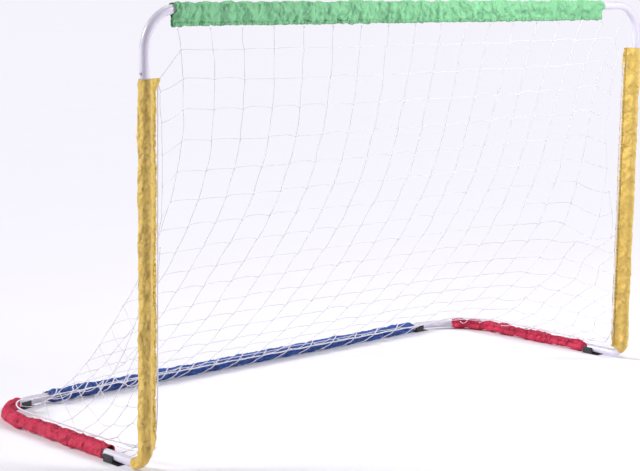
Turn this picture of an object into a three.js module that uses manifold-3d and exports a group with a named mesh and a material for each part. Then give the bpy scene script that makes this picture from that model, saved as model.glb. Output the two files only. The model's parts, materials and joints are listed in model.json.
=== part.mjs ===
// Knock-down goal frame with a rope net, for street, floor and ice hockey practice.
// Millimetres, +Z up. The mouth faces -Y, and +X is to the right as seen from in front of it.
// The origin is on the floor, under the middle of the frame.

import * as THREE from 'three';
import { mergeVertices } from 'three/addons/utils/BufferGeometryUtils.js';
import Module from 'manifold-3d';

const wasm = await Module();
wasm.setup();

// ---------------------------------------------------------------- driving dimensions
// Frame of round steel tube, measured on the tube centre lines
const TUBE_R = 11;
const WALL = 1.2;
const POST_X = 904;
const CROSSBAR_Z = 1054;
const BASE_Z = 16;
const FRONT_Y = -339;
const REAR_Y = 339;
const TOP_BEND_R = 90;
const TOE_BEND_R = 40;
const REAR_BEND_R = 165;

// Where the tubes join: the end of each outer tube
const CROSSBAR_JOINT_X = 60;
const POST_JOINT_Z = 886;
const SIDE_JOINT_Y = -150;
const REAR_JOINT_X = 650;
const REAR_MIDDLE_X = 0;

// Reduced end that slides into the next tube
const REDUCED_R = 9.4;
const REDUCED_LENGTH = 55;
const SHOULDER = 8;
const TAPER_END = 1;
const LAP = 0.5;

// Spring button that locks a joint
const BUTTON_SETBACK = 26;
const BUTTON_R = 3.6;
const BUTTON_HOLE_R = 4;
const BUTTON_TOP = 13.2;
const BUTTON_SEAT = 8;
const BUTTON_CROWN = 1.2;
const BUTTON_CROWN_IN = 1.4;
const STEM_R = 2.1;
const STEM_END = 2.2;
const STEM_HOLE_R = 2.7;
const SPRING_WIDTH = 8;
const SPRING_THICKNESS = 0.6;

// Clip-on feet
const FOOT_LENGTH = 34;
const FOOT_HALF_WIDTH = 15.5;
const FOOT_BORE_R = 12.5;
const FOOT_OPENING = 0.42 * Math.PI;
const TOE_LENGTH = 22;
const TOE_TIP = 0.8;
const TOE_STEP = 0.4;
const TOE_LAP = 1;
const FOOT_FRONT_Y = FRONT_Y + 121;
const FOOT_REAR_RIGHT_X = 724;
const FOOT_REAR_LEFT_ANGLE = 0.27;

// Fabric sleeves: a tube of cloth with its spare width hanging off one side as a flap
const CLOTH = 1.6;
const SLEEVE_R = 13.2;
const LOOSE_SLEEVE_R = 15.2;
const FLAP_TIP_R = 3.2;
const POST_FLAP = 36;
const POST_LEFT_FLAP_TURN = 1.4;
const POST_RIGHT_FLAP_TURN = -0.87;
const POST_SLEEVE_RIGHT_TURN = 0.8;
const CROSSBAR_FLAP = 38;
const REAR_FLAP = 18;
const REAR_FLAP_TURN = 2.8;
const SIDE_FLAP = 24;
const SIDE_FLAP_RISE = 0.87;
const SLEEVE_LEFT_TOP = 900;
const SLEEVE_RIGHT_TOP = 932;
const CROSSBAR_SLEEVE = [-827, 736];
const REAR_SLEEVE = [-716, 700];
const SIDE_SLEEVE_Y = -192;
const SIDE_SLEEVE_LEFT_TURN = 1.15;
const SIDE_SLEEVE_RIGHT_TURN = 0.87;

// Net panels and the cords that they are laced to
const NET_THICKNESS = 3;
const NET_GAP = 4;
const CORD_R = 2;
const CORD_GAP = 0.4;
const REAR_CORD_X = 760;

// Facets: half way round a tube, and all the way round a small part
const ROUND = 8;
const SMALL_ROUND = 12;
const CLOTH_ROUND = 5;
const BEND_STEPS = 6;
const REAR_BEND_STEPS = 10;
const SIDE_CORD_STEPS = 40;
const BACK_CELLS = [8, 13];
const SIDE_CELLS = [4, 12];

// ---------------------------------------------------------------- finishes
const finish = (color, roughness, metalness = 0) =>
  () => new THREE.MeshStandardMaterial({ color, roughness, metalness });
const whitePowderCoat = finish(0xe9e7f0, 0.35);
const springSteel = finish(0x9a9ca3, 0.3, 0.9);
const blackPlastic = finish(0x27272c, 0.5);
const yellowCloth = finish(0xe8b64a, 0.7);
const greenCloth = finish(0x6cc08c, 0.7);
const redCloth = finish(0xd0244f, 0.7);
const blueCloth = finish(0x2c4fb0, 0.7);
const whiteTwine = finish(0xf4f3f8, 0.85);

const goal = new THREE.Group();
goal.name = 'goal';

function add(name, geometry, material) {
  const mesh = new THREE.Mesh(geometry, material());
  mesh.name = name;
  goal.add(mesh);
  return mesh;
}

// ---------------------------------------------------------------- paths
const X = new THREE.Vector3(1, 0, 0);
const Y = new THREE.Vector3(0, 1, 0);
const Z = new THREE.Vector3(0, 0, 1);
const at = (x, y, z) => new THREE.Vector3(x, y, z);

// A flat path of straights and bends. A section swept along it has its x towards the
// left of travel and its y along the plane's normal.
class BentPath extends THREE.Curve {
  constructor(normal, start, direction) {
    super();
    this.normal = normal.clone();
    this.points = [start.clone()];
    this.tangents = [direction.clone()];
  }

  get steps() {
    return this.points.length - 1;
  }

  straight(length) {
    const tangent = this.tangents.at(-1);
    this.points.push(this.points.at(-1).clone().addScaledVector(tangent, length));
    this.tangents.push(tangent.clone());
    return this;
  }

  bend(radius, angle, steps = BEND_STEPS) {
    const left = this.normal.clone().cross(this.tangents.at(-1));
    const centre = this.points.at(-1).clone().addScaledVector(left, radius * Math.sign(angle));
    const from = this.points.at(-1).clone();
    const heading = this.tangents.at(-1).clone();
    for (let i = 1; i <= steps; i++) {
      const turn = (angle * i) / steps;
      this.points.push(from.clone().sub(centre).applyAxisAngle(this.normal, turn).add(centre));
      this.tangents.push(heading.clone().applyAxisAngle(this.normal, turn));
    }
    return this;
  }

  getPoint(t) {
    return this.points[Math.round(t * this.steps)].clone();
  }

  getSpacedPoints() {
    return this.points;
  }

  computeFrenetFrames() {
    const normals = this.tangents.map((tangent) => this.normal.clone().cross(tangent));
    const binormals = this.tangents.map(() => this.normal.clone());
    return { tangents: this.tangents, normals, binormals };
  }
}

const sweep = (section, path) => new THREE.ExtrudeGeometry(section, {
  steps: path.steps,
  extrudePath: path,
  curveSegments: ROUND,
  bevelEnabled: false,
});

const line = (start, direction, length) => {
  const normal = Math.abs(direction.z) > 0.5 ? X : Z;
  return new BentPath(normal, start, direction).straight(length);
};

// ---------------------------------------------------------------- joining and cutting
function solid(geometry) {
  const bare = geometry.clone();
  bare.deleteAttribute('normal');
  bare.deleteAttribute('uv');
  const merged = mergeVertices(bare);
  return new wasm.Manifold(new wasm.Mesh({
    numProp: 3,
    vertProperties: merged.attributes.position.array,
    triVerts: Uint32Array.from(merged.index.array),
  }));
}

function geometryOf(manifold) {
  const mesh = manifold.getMesh();
  const geometry = new THREE.BufferGeometry();
  geometry.setAttribute('position', new THREE.BufferAttribute(mesh.vertProperties, 3));
  geometry.setIndex(new THREE.BufferAttribute(mesh.triVerts, 1));
  const faceted = geometry.toNonIndexed();
  faceted.computeVertexNormals();
  return faceted;
}

// Puts a shape made along +Y so that +Y points along `axis` and +X along `side`
function place(geometry, origin, axis, side) {
  const basis = new THREE.Matrix4().makeBasis(side, axis, side.clone().cross(axis));
  return geometry.clone().applyMatrix4(basis.setPosition(origin));
}

// ---------------------------------------------------------------- frame joints
// `end` is the end of the outer tube, `into` the way the reduced end goes in,
// and `out` the side that the button looks to.
const joints = {
  crossbar: { end: at(CROSSBAR_JOINT_X, FRONT_Y, CROSSBAR_Z), into: at(-1, 0, 0), out: at(0, 0, -1) },
  post_left: { end: at(-POST_X, FRONT_Y, POST_JOINT_Z), into: Z, out: at(-1, 0, 0) },
  post_right: { end: at(POST_X, FRONT_Y, POST_JOINT_Z), into: Z, out: X },
  side_left: { end: at(-POST_X, SIDE_JOINT_Y, BASE_Z), into: at(0, -1, 0), out: X },
  side_right: { end: at(POST_X, SIDE_JOINT_Y, BASE_Z), into: at(0, -1, 0), out: at(-1, 0, 0) },
  rear_left: { end: at(-REAR_JOINT_X, REAR_Y, BASE_Z), into: at(-1, 0, 0), out: at(0, -1, 0) },
  rear_right: { end: at(REAR_JOINT_X, REAR_Y, BASE_Z), into: X, out: at(0, -1, 0) },
  rear_middle: { end: at(REAR_MIDDLE_X, REAR_Y, BASE_Z), into: at(-1, 0, 0), out: at(0, -1, 0) },
};
const buttonAt = ({ end, into }) => end.clone().addScaledVector(into, BUTTON_SETBACK);

// Where the full-size tube stops, short of the joint that its reduced end goes into
const shoulderAt = ({ end, into }) => end.clone().addScaledVector(into, -SHOULDER);

const tubeSection = new THREE.Shape().absarc(0, 0, TUBE_R, 0, 2 * Math.PI);
tubeSection.holes.push(new THREE.Path().absarc(0, 0, TUBE_R - WALL, 0, 2 * Math.PI));

// Tapered shoulder and reduced end, as one turned ring
function reducedEnd({ end, into, out }) {
  const profile = [
    [TUBE_R, -SHOULDER - LAP],
    [TUBE_R, -SHOULDER],
    [REDUCED_R, -TAPER_END],
    [REDUCED_R, REDUCED_LENGTH],
    [REDUCED_R - WALL, REDUCED_LENGTH],
    [REDUCED_R - WALL, -TAPER_END],
    [TUBE_R - WALL, -SHOULDER],
    [TUBE_R - WALL, -SHOULDER - LAP],
    [TUBE_R, -SHOULDER - LAP],
  ].map(([r, along]) => new THREE.Vector2(r, along));
  const ring = new THREE.LatheGeometry(profile, 2 * ROUND);
  return solid(place(ring, end, into, out));
}

function buttonHole(joint) {
  const drill = new THREE.CylinderGeometry(BUTTON_HOLE_R, BUTTON_HOLE_R, TUBE_R, SMALL_ROUND);
  drill.translate(0, TUBE_R, 0);
  return solid(place(drill, buttonAt(joint), joint.out, joint.into));
}

// A frame tube with the reduced ends and button holes that it needs
function frameTube(name, path, { reduced = [], drilled = [] }) {
  let tube = solid(sweep(tubeSection, path));
  for (const key of reduced) {
    tube = tube.add(reducedEnd(joints[key]));
  }
  for (const key of [...reduced, ...drilled]) {
    tube = tube.subtract(buttonHole(joints[key]));
  }
  add(name, geometryOf(tube), whitePowderCoat);
}

// Upper half hoops: the leg is the outer tube at the post joint
const QUARTER = Math.PI / 2;
const topStraight = POST_X - TOP_BEND_R;
const topLeg = CROSSBAR_Z - TOP_BEND_R - POST_JOINT_Z;
frameTube('crossbar_left',
  new BentPath(Y.clone().negate(), joints.crossbar.end, at(-1, 0, 0))
    .straight(topStraight + CROSSBAR_JOINT_X)
    .bend(TOP_BEND_R, QUARTER)
    .straight(topLeg),
  { drilled: ['crossbar', 'post_left'] });
frameTube('crossbar_right',
  new BentPath(Y, shoulderAt(joints.crossbar), X)
    .straight(topStraight - shoulderAt(joints.crossbar).x)
    .bend(TOP_BEND_R, QUARTER)
    .straight(topLeg),
  { reduced: ['crossbar'], drilled: ['post_right'] });

// Posts, each turning back along the floor, and side bars that turn in to the rear bar
const postStraight = POST_JOINT_Z - SHOULDER - BASE_Z - TOE_BEND_R;
const sideStart = SIDE_JOINT_Y + SHOULDER;
for (const [hand, sign] of [['left', -1], ['right', 1]]) {
  const postKey = `post_${hand}`;
  const sideKey = `side_${hand}`;
  frameTube(postKey,
    new BentPath(X, shoulderAt(joints[postKey]), Z.clone().negate())
      .straight(postStraight)
      .bend(TOE_BEND_R, QUARTER)
      .straight(SIDE_JOINT_Y - FRONT_Y - TOE_BEND_R),
    { reduced: [postKey], drilled: [sideKey] });
  frameTube(`side_bar_${hand}`,
    new BentPath(Z, shoulderAt(joints[sideKey]), Y)
      .straight(REAR_Y - REAR_BEND_R - sideStart)
      .bend(REAR_BEND_R, sign * QUARTER, REAR_BEND_STEPS)
      .straight(POST_X - REAR_BEND_R - REAR_JOINT_X),
    { reduced: [sideKey], drilled: [`rear_${hand}`] });
}

// Rear bar in two halves
const rearLeftStart = shoulderAt(joints.rear_left);
frameTube('rear_bar_left',
  line(rearLeftStart, X, REAR_MIDDLE_X - rearLeftStart.x),
  { reduced: ['rear_left'], drilled: ['rear_middle'] });
const rearMiddleStart = shoulderAt(joints.rear_middle);
frameTube('rear_bar_right',
  line(rearMiddleStart, X, shoulderAt(joints.rear_right).x - rearMiddleStart.x),
  { reduced: ['rear_middle', 'rear_right'] });

// ---------------------------------------------------------------- spring buttons
// Head and stem, turned about the direction that the button is pressed in
const buttonProfile = [
  [0, STEM_END],
  [STEM_R, STEM_END],
  [STEM_R, BUTTON_SEAT],
  [BUTTON_R, BUTTON_SEAT],
  [BUTTON_R, BUTTON_TOP - BUTTON_CROWN],
  [BUTTON_R - BUTTON_CROWN_IN, BUTTON_TOP],
  [0, BUTTON_TOP],
].map(([r, height]) => new THREE.Vector2(r, height));
const button = new THREE.LatheGeometry(buttonProfile, SMALL_ROUND);

// V-shaped leaf: x runs along the tube, y towards the button
const ARM_AT_BUTTON = 3;
const ARM_SLOPE = 0.1;
const ARM_TIP = 8;
const FOLD_X = -36;
const FOLD_DEPTH = 1.6;
const FOLD_GAP = 2.6;
const FOOT_TIP = [10, -6.5];
const armY = (x) => ARM_AT_BUTTON + ARM_SLOPE * x;
const foldY = armY(FOLD_X);
const leaf = new THREE.Shape();
leaf.moveTo(ARM_TIP, armY(ARM_TIP));
leaf.lineTo(FOLD_X, foldY);
leaf.lineTo(FOLD_X - FOLD_DEPTH, foldY - FOLD_GAP / 2);
leaf.lineTo(FOLD_X, foldY - FOLD_GAP);
leaf.lineTo(...FOOT_TIP);
leaf.lineTo(FOOT_TIP[0], FOOT_TIP[1] + SPRING_THICKNESS);
leaf.lineTo(FOLD_X, foldY - FOLD_GAP + SPRING_THICKNESS);
leaf.lineTo(FOLD_X - FOLD_DEPTH / 2, foldY - FOLD_GAP / 2);
leaf.lineTo(FOLD_X, foldY - SPRING_THICKNESS);
leaf.lineTo(ARM_TIP, armY(ARM_TIP) - SPRING_THICKNESS);
const strip = new THREE.ExtrudeGeometry(leaf, { depth: SPRING_WIDTH, bevelEnabled: false });
strip.translate(0, 0, -SPRING_WIDTH / 2);
const eye = new THREE.CylinderGeometry(STEM_HOLE_R, STEM_HOLE_R, ARM_TIP, SMALL_ROUND);
eye.translate(0, ARM_AT_BUTTON, 0);
const spring = geometryOf(solid(strip).subtract(solid(eye)));

for (const [key, joint] of Object.entries(joints)) {
  add(`button_${key}`, place(button, buttonAt(joint), joint.out, joint.into), springSteel);
  add(`spring_${key}`, place(spring, buttonAt(joint), joint.out, joint.into), springSteel);
}

// ---------------------------------------------------------------- feet
// Clip with a flat sole, open at the top, and a low wedge in front of it
const mouthAngle = QUARTER - FOOT_OPENING;
const clip = new THREE.Shape();
clip.moveTo(-FOOT_HALF_WIDTH, -BASE_Z);
clip.lineTo(FOOT_HALF_WIDTH, -BASE_Z);
clip.lineTo(FOOT_HALF_WIDTH, FOOT_BORE_R * Math.sin(mouthAngle));
clip.lineTo(FOOT_BORE_R * Math.cos(mouthAngle), FOOT_BORE_R * Math.sin(mouthAngle));
clip.absarc(0, 0, FOOT_BORE_R, mouthAngle, Math.PI - mouthAngle, true);
clip.lineTo(-FOOT_HALF_WIDTH, FOOT_BORE_R * Math.sin(mouthAngle));
const clipBody = new THREE.ExtrudeGeometry(clip, {
  depth: FOOT_LENGTH,
  curveSegments: ROUND,
  bevelEnabled: false,
});
clipBody.translate(0, 0, -FOOT_LENGTH / 2);
const SOLE = BASE_Z - FOOT_BORE_R;
const wedge = new THREE.Shape();
wedge.moveTo(-TOE_LENGTH - FOOT_LENGTH / 2, 0);
wedge.lineTo(TOE_LAP - FOOT_LENGTH / 2, 0);
wedge.lineTo(TOE_LAP - FOOT_LENGTH / 2, SOLE - TOE_STEP);
wedge.lineTo(-TOE_LENGTH - FOOT_LENGTH / 2, TOE_TIP);
const toe = new THREE.ExtrudeGeometry(wedge, { depth: 2 * FOOT_HALF_WIDTH, bevelEnabled: false });
toe.translate(0, -BASE_Z, -FOOT_HALF_WIDTH);
toe.rotateY(-QUARTER);
const foot = geometryOf(solid(clipBody).add(solid(toe)));

// The toe points along `ahead`, and the sole lies on the floor
function addFoot(name, origin, ahead) {
  const basis = new THREE.Matrix4().makeBasis(Z.clone().cross(ahead).negate(), Z, ahead.clone().negate());
  add(name, foot.clone().applyMatrix4(basis.setPosition(origin)), blackPlastic);
}
addFoot('foot_front_left', at(-POST_X, FOOT_FRONT_Y, BASE_Z), at(0, -1, 0));
addFoot('foot_front_right', at(POST_X, FOOT_FRONT_Y, BASE_Z), at(0, -1, 0));
addFoot('foot_rear_right', at(FOOT_REAR_RIGHT_X, REAR_Y, BASE_Z), X);
addFoot('foot_rear_left',
  at(-POST_X + REAR_BEND_R * (1 - Math.sin(FOOT_REAR_LEFT_ANGLE)),
    REAR_Y - REAR_BEND_R * (1 - Math.cos(FOOT_REAR_LEFT_ANGLE)), BASE_Z),
  at(Math.cos(FOOT_REAR_LEFT_ANGLE), Math.sin(FOOT_REAR_LEFT_ANGLE), 0));

// ---------------------------------------------------------------- fabric sleeves
// Round where the tube runs and drawn out to a narrow edge `reach` away, `turn` round
// from the section's x axis
function drop(shape, r, tip, reach, turn) {
  const lean = Math.acos((r - tip) / reach);
  const full = 2 * Math.PI;
  shape.absarc(0, 0, r, turn + lean, turn + full - lean);
  shape.absarc(reach * Math.cos(turn), reach * Math.sin(turn), tip, turn - lean, turn + lean);
  shape.closePath();
  return shape;
}

function sleeve(name, path, { r, reach, turn, cloth }) {
  const section = drop(new THREE.Shape(), r, FLAP_TIP_R, reach, turn);
  section.holes.push(drop(new THREE.Path(), r - CLOTH, FLAP_TIP_R - CLOTH, reach, turn));
  const geometry = new THREE.ExtrudeGeometry(section, {
    steps: path.steps,
    extrudePath: path,
    curveSegments: CLOTH_ROUND,
    bevelEnabled: false,
  });
  add(name, geometry, cloth);
}

sleeve('sleeve_crossbar',
  line(at(CROSSBAR_SLEEVE[0], FRONT_Y, CROSSBAR_Z), X, CROSSBAR_SLEEVE[1] - CROSSBAR_SLEEVE[0]),
  { r: SLEEVE_R, reach: CROSSBAR_FLAP, turn: -QUARTER, cloth: greenCloth });
sleeve('sleeve_rear',
  line(at(REAR_SLEEVE[0], REAR_Y, BASE_Z), X, REAR_SLEEVE[1] - REAR_SLEEVE[0]),
  { r: LOOSE_SLEEVE_R, reach: REAR_FLAP, turn: REAR_FLAP_TURN, cloth: blueCloth });

const postSleevePath = (x, top, turn) =>
  new BentPath(X, at(x, FRONT_Y, top), Z.clone().negate())
    .straight(top - BASE_Z - TOE_BEND_R)
    .bend(TOE_BEND_R, turn);
sleeve('sleeve_post_left', postSleevePath(-POST_X, SLEEVE_LEFT_TOP, QUARTER),
  { r: SLEEVE_R, reach: POST_FLAP, turn: POST_LEFT_FLAP_TURN, cloth: yellowCloth });
sleeve('sleeve_post_right', postSleevePath(POST_X, SLEEVE_RIGHT_TOP, POST_SLEEVE_RIGHT_TURN),
  { r: LOOSE_SLEEVE_R, reach: POST_FLAP, turn: POST_RIGHT_FLAP_TURN, cloth: yellowCloth });

const sideSleevePath = (x, turn) =>
  new BentPath(Z, at(x, SIDE_SLEEVE_Y, BASE_Z), Y)
    .straight(REAR_Y - REAR_BEND_R - SIDE_SLEEVE_Y)
    .bend(REAR_BEND_R, turn);
sleeve('sleeve_side_left', sideSleevePath(-POST_X, -SIDE_SLEEVE_LEFT_TURN),
  { r: LOOSE_SLEEVE_R, reach: SIDE_FLAP, turn: Math.PI - SIDE_FLAP_RISE, cloth: redCloth });
sleeve('sleeve_side_right', sideSleevePath(POST_X, SIDE_SLEEVE_RIGHT_TURN),
  { r: LOOSE_SLEEVE_R, reach: SIDE_FLAP, turn: SIDE_FLAP_RISE, cloth: redCloth });

// ---------------------------------------------------------------- net
// The net hangs almost straight from the crossbar and then swings back to the rear bar.
// Distances behind the crossbar and heights, down the middle of the back panel
const middle = new THREE.CatmullRomCurve3([
  [0, 1009], [22, 880], [50, 740], [105, 580], [200, 440], [330, 280], [470, 150], [600, 62], [648, 34],
].map(([back, height]) => at(0, FRONT_Y + back, height)));

// Down the corner between the back panel and a side panel: half width, distance, height
const corner = new THREE.CatmullRomCurve3([
  [826, 2, 1009], [784, 34, 880], [776, 44, 740], [786, 80, 580], [806, 160, 420],
  [830, 275, 270], [846, 420, 140], [846, 520, 70], [838, 592, 34],
].map(([half, back, height]) => at(half, FRONT_Y + back, height)));

// Down the front edge of a side panel, beside the post sleeve, to the foot
const frontEdge = new THREE.CatmullRomCurve3([
  [856, 10, 888], [854, 12, 700], [853, 14, 400], [855, 18, 120], [860, 60, 34],
].map(([half, back, height]) => at(half, FRONT_Y + back, height)));

// A bent plate: pointAt gives its middle surface, u across and v down
function sheet(name, pointAt, [across, down]) {
  const geometry = new THREE.BoxGeometry(1, 1, 1, across, down, 1);
  const position = geometry.attributes.position;
  const step = 0.01;
  for (let i = 0; i < position.count; i++) {
    const u = position.getX(i) + 0.5;
    const v = 0.5 - position.getY(i);
    const side = position.getZ(i);
    const alongU = pointAt(Math.min(u + step, 1), v).sub(pointAt(Math.max(u - step, 0), v));
    const up = pointAt(u, Math.max(v - step, 0)).sub(pointAt(u, Math.min(v + step, 1)));
    const normal = alongU.cross(up).normalize();
    const point = pointAt(u, v).addScaledVector(normal, side * NET_THICKNESS);
    position.setXYZ(i, point.x, point.y, point.z);
  }
  geometry.computeVertexNormals();
  add(name, geometry, whiteTwine);
}

// The pull of the side panels reaches only the outer part of the back panel
sheet('net_back', (u, v) => {
  const across = 2 * u - 1;
  const edge = corner.getPoint(v);
  const point = middle.getPoint(v).lerp(edge, across ** 4);
  return point.setX(edge.x * across);
}, BACK_CELLS);

for (const [name, sign] of [['net_left', -1], ['net_right', 1]]) {
  sheet(name, (u, v) => {
    const front = frontEdge.getPoint(v);
    const rear = corner.getPoint(v);
    rear.x += NET_GAP;
    const point = sign < 0 ? front.lerp(rear, u) : rear.lerp(front, u);
    return point.setX(sign * point.x);
  }, SIDE_CELLS);
}

// ---------------------------------------------------------------- border cords
const cordSection = new THREE.Shape().absarc(0, 0, CORD_R, 0, 2 * Math.PI);

function cord(name, path, steps) {
  const geometry = new THREE.ExtrudeGeometry(cordSection, {
    steps,
    extrudePath: path,
    curveSegments: 4,
    bevelEnabled: false,
  });
  add(name, geometry, whiteTwine);
}

// From the end of the crossbar sleeve to the top of the post sleeve, down its flap,
// back along the side bar and round to the rear sleeve
const sideCordRoute = [
  [834, 3, 1012], [846, 5, 960], [858, 7, 904], [860, 9, 850], [860, 9, 600], [860, 9, 350],
  [860, 10, 130], [862, 22, 74], [868, 62, 46], [880, 140, 41], [883, 220, 40], [883, 300, 40],
  [883, 440, 40], [883, 513, 40], [873, 562, 40], [847, 602, 40], [810, 630, 36], [772, 652, 26],
];
for (const [name, sign] of [['cord_left', -1], ['cord_right', 1]]) {
  const route = sideCordRoute.map(([half, back, height]) => at(sign * half, FRONT_Y + back, height));
  cord(name, new THREE.CatmullRomCurve3(route), SIDE_CORD_STEPS);
}

// Along the rear sleeve, on its front edge
const rearEdge = REAR_FLAP + FLAP_TIP_R + CORD_R + CORD_GAP;
cord('cord_rear', new THREE.LineCurve3(
  at(-REAR_CORD_X, REAR_Y + rearEdge * Math.cos(REAR_FLAP_TURN), BASE_Z + rearEdge * Math.sin(REAR_FLAP_TURN)),
  at(REAR_CORD_X, REAR_Y + rearEdge * Math.cos(REAR_FLAP_TURN), BASE_Z + rearEdge * Math.sin(REAR_FLAP_TURN)),
), 1);

export default goal;
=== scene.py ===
"""Looks for the knock-down goal: steel tubes, snap buttons, feet, cloth sleeves, net and cords.

Everything is in metres. The mouth of the goal faces -Y, and the floor is at z = 0.
"""

import json
import math
import random

import bmesh
import bpy
import numpy as np
from bpy.props import FloatProperty, FloatVectorProperty, IntProperty, PointerProperty
from mathutils import Matrix, Vector, noise
from mathutils.bvhtree import BVHTree
from mathutils.kdtree import KDTree

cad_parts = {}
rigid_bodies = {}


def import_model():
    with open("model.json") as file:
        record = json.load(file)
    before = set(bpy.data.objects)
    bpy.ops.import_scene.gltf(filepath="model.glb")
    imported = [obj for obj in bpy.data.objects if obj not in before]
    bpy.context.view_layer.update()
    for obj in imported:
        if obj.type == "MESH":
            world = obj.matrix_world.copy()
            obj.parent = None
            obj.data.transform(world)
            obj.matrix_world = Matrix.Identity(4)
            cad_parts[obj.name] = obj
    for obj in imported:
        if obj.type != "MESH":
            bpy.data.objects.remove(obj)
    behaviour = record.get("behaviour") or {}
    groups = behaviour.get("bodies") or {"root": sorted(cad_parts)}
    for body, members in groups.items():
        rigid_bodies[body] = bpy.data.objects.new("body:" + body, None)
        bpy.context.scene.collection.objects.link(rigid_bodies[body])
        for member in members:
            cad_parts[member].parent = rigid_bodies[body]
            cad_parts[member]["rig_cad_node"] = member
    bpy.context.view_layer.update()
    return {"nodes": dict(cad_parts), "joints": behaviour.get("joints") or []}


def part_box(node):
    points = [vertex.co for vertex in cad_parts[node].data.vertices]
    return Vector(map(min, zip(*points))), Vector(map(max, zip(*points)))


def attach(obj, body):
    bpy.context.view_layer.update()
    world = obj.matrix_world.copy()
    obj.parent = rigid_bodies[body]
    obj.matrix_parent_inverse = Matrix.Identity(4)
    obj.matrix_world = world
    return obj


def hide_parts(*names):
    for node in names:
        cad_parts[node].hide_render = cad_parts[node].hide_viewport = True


bl_info = {
    "name": "Knock-down goal",
    "version": (1, 0, 0),
    "blender": (4, 5, 0),
    "location": "3D View > Sidebar > Goal",
    "description": "Builds a tube goal with cloth sleeves and a knotted net",
    "category": "Add Mesh",
}

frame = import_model()

X, Y, Z = Vector((1, 0, 0)), Vector((0, 1, 0)), Vector((0, 0, 1))
BODY = "frame"


# ------------------------------------------------------------------ places, read from the frame
def middle(node):
    low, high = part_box(node)
    return (low + high) / 2


TUBE_R = (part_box("post_left")[1].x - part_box("post_left")[0].x) / 2
POST_X = middle("post_right").x
FRONT_Y = middle("crossbar_left").y
CROSSBAR_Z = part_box("crossbar_left")[1].z - TUBE_R
BASE_Z = middle("rear_bar_left").z
REAR_Y = middle("rear_bar_left").y
CROSSBAR_JOINT_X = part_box("crossbar_left")[1].x
POST_JOINT_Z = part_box("crossbar_left")[0].z
SIDE_JOINT_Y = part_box("post_left")[1].y
REAR_JOINT_X = -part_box("side_bar_left")[1].x
REAR_MIDDLE_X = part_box("rear_bar_left")[1].x
LEFT, RIGHT = ("left", -1), ("right", 1)
SIDES = (LEFT, RIGHT)


# ------------------------------------------------------------------ settings
def number(text, default, **more):
    return FloatProperty(name=text, description=text, default=default, **more)


def length(text, default):
    return number(text, default, min=0, unit="LENGTH", precision=4)


def angle(text, degrees):
    return number(text, math.radians(degrees), subtype="ANGLE")


def place(text, default):
    return FloatVectorProperty(name=text, description=text, default=default, unit="LENGTH")


def colour(text, default):
    return FloatVectorProperty(
        name=text, description=text, default=default, size=3, min=0, max=1, subtype="COLOR"
    )


class GoalTubes(bpy.types.PropertyGroup):
    """Sizes of the steel frame that its own boxes don't give"""

    wall: length("Wall of the tube", 0.0012)
    top_bend: length("Radius of the top elbows, at the centre line", 0.090)
    toe_bend: length("Radius of the bend at the foot of a post", 0.040)
    rear_bend: length("Radius of the rear corners", 0.165)
    reduced_r: length("Radius of a reduced end", 0.0094)
    reduced_length: length("Length of a reduced end", 0.055)
    shoulder: length("Length of the taper before a reduced end", 0.008)
    hole_r: length("Radius of a button hole", 0.004)
    segments: IntProperty(name="Facets", description="Facets round a tube", default=40, min=12)
    coat: colour("Powder coat", (0.70, 0.67, 0.78))


class GoalCloth(bpy.types.PropertyGroup):
    """Sizes and colours of the sleeves"""

    thickness: length("Thickness of the cloth", 0.0005)
    grid: length("Size of a mesh square in the cloth", 0.006)
    stitch: length("Length of a stitch", 0.0042)
    side_left_turn: number("How far the left side sleeve goes round its corner", 1.08)
    side_right_turn: number("How far the right side sleeve goes round its corner", 0.87)
    green: colour("Green cloth", (0.238, 0.625, 0.313))
    yellow: colour("Yellow cloth", (0.86, 0.58, 0.13))
    red: colour("Red cloth", (0.70, 0.022, 0.085))
    blue: colour("Blue cloth", (0.028, 0.105, 0.42))


class GoalNet(bpy.types.PropertyGroup):
    """Sizes of the net and its cords"""

    cell_wide: length("Length of a string between knots, across", 0.0955)
    cell_high: length("Length of a string between knots, down", 0.0740)
    first_cell: length("Length of the strings that hang from the crossbar sleeve", 0.052)
    twine_r: length("Radius of the twine", 0.0009)
    lace_r: length("Radius of the lacing", 0.0016)
    knot_r: length("Radius of a knot", 0.0021)
    cord_r: length("Radius of the border cord", 0.002)
    cord_pitch: length("Lay of the border cord's strands", 0.012)
    columns: IntProperty(name="Cells across the back", description="Cells across the back", default=17, min=2)
    rows: IntProperty(name="Rows", description="Rows of cells from top to bottom", default=17, min=2)
    twine: colour("Twine", (0.82, 0.79, 0.88))


class GoalStage(bpy.types.PropertyGroup):
    """Camera and studio"""

    camera: place("Place of the camera", (-3.263, -3.374, 1.149))
    azimuth: angle("Way the camera looks, from +Y", -43.724)
    elevation: angle("Height of the view", 8.808)
    roll: angle("Lean of the camera", 0.871)
    lens: number("Focal length on a 36 mm sensor", 97.17, unit="CAMERA")
    side_height: number("Rise of the side lights over their reach", 0.6)
    left_light: number("Strength of the left light", 2.9)
    right_light: number("Strength of the right light", 1.9)
    back_light: number("Strength of the light from behind", 0.5)
    glow: number("Strength of the light all round", 0.12)
    fill: number("Power of the light on the right post", 12.0, unit="POWER")
    fill_place: place("Place of the light on the right post", (0.3, -1.2, 1.7))
    softness: number("Width of the lights", 0.35, subtype="ANGLE")
    floor: colour("Floor", (0.90, 0.885, 0.95))


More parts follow.
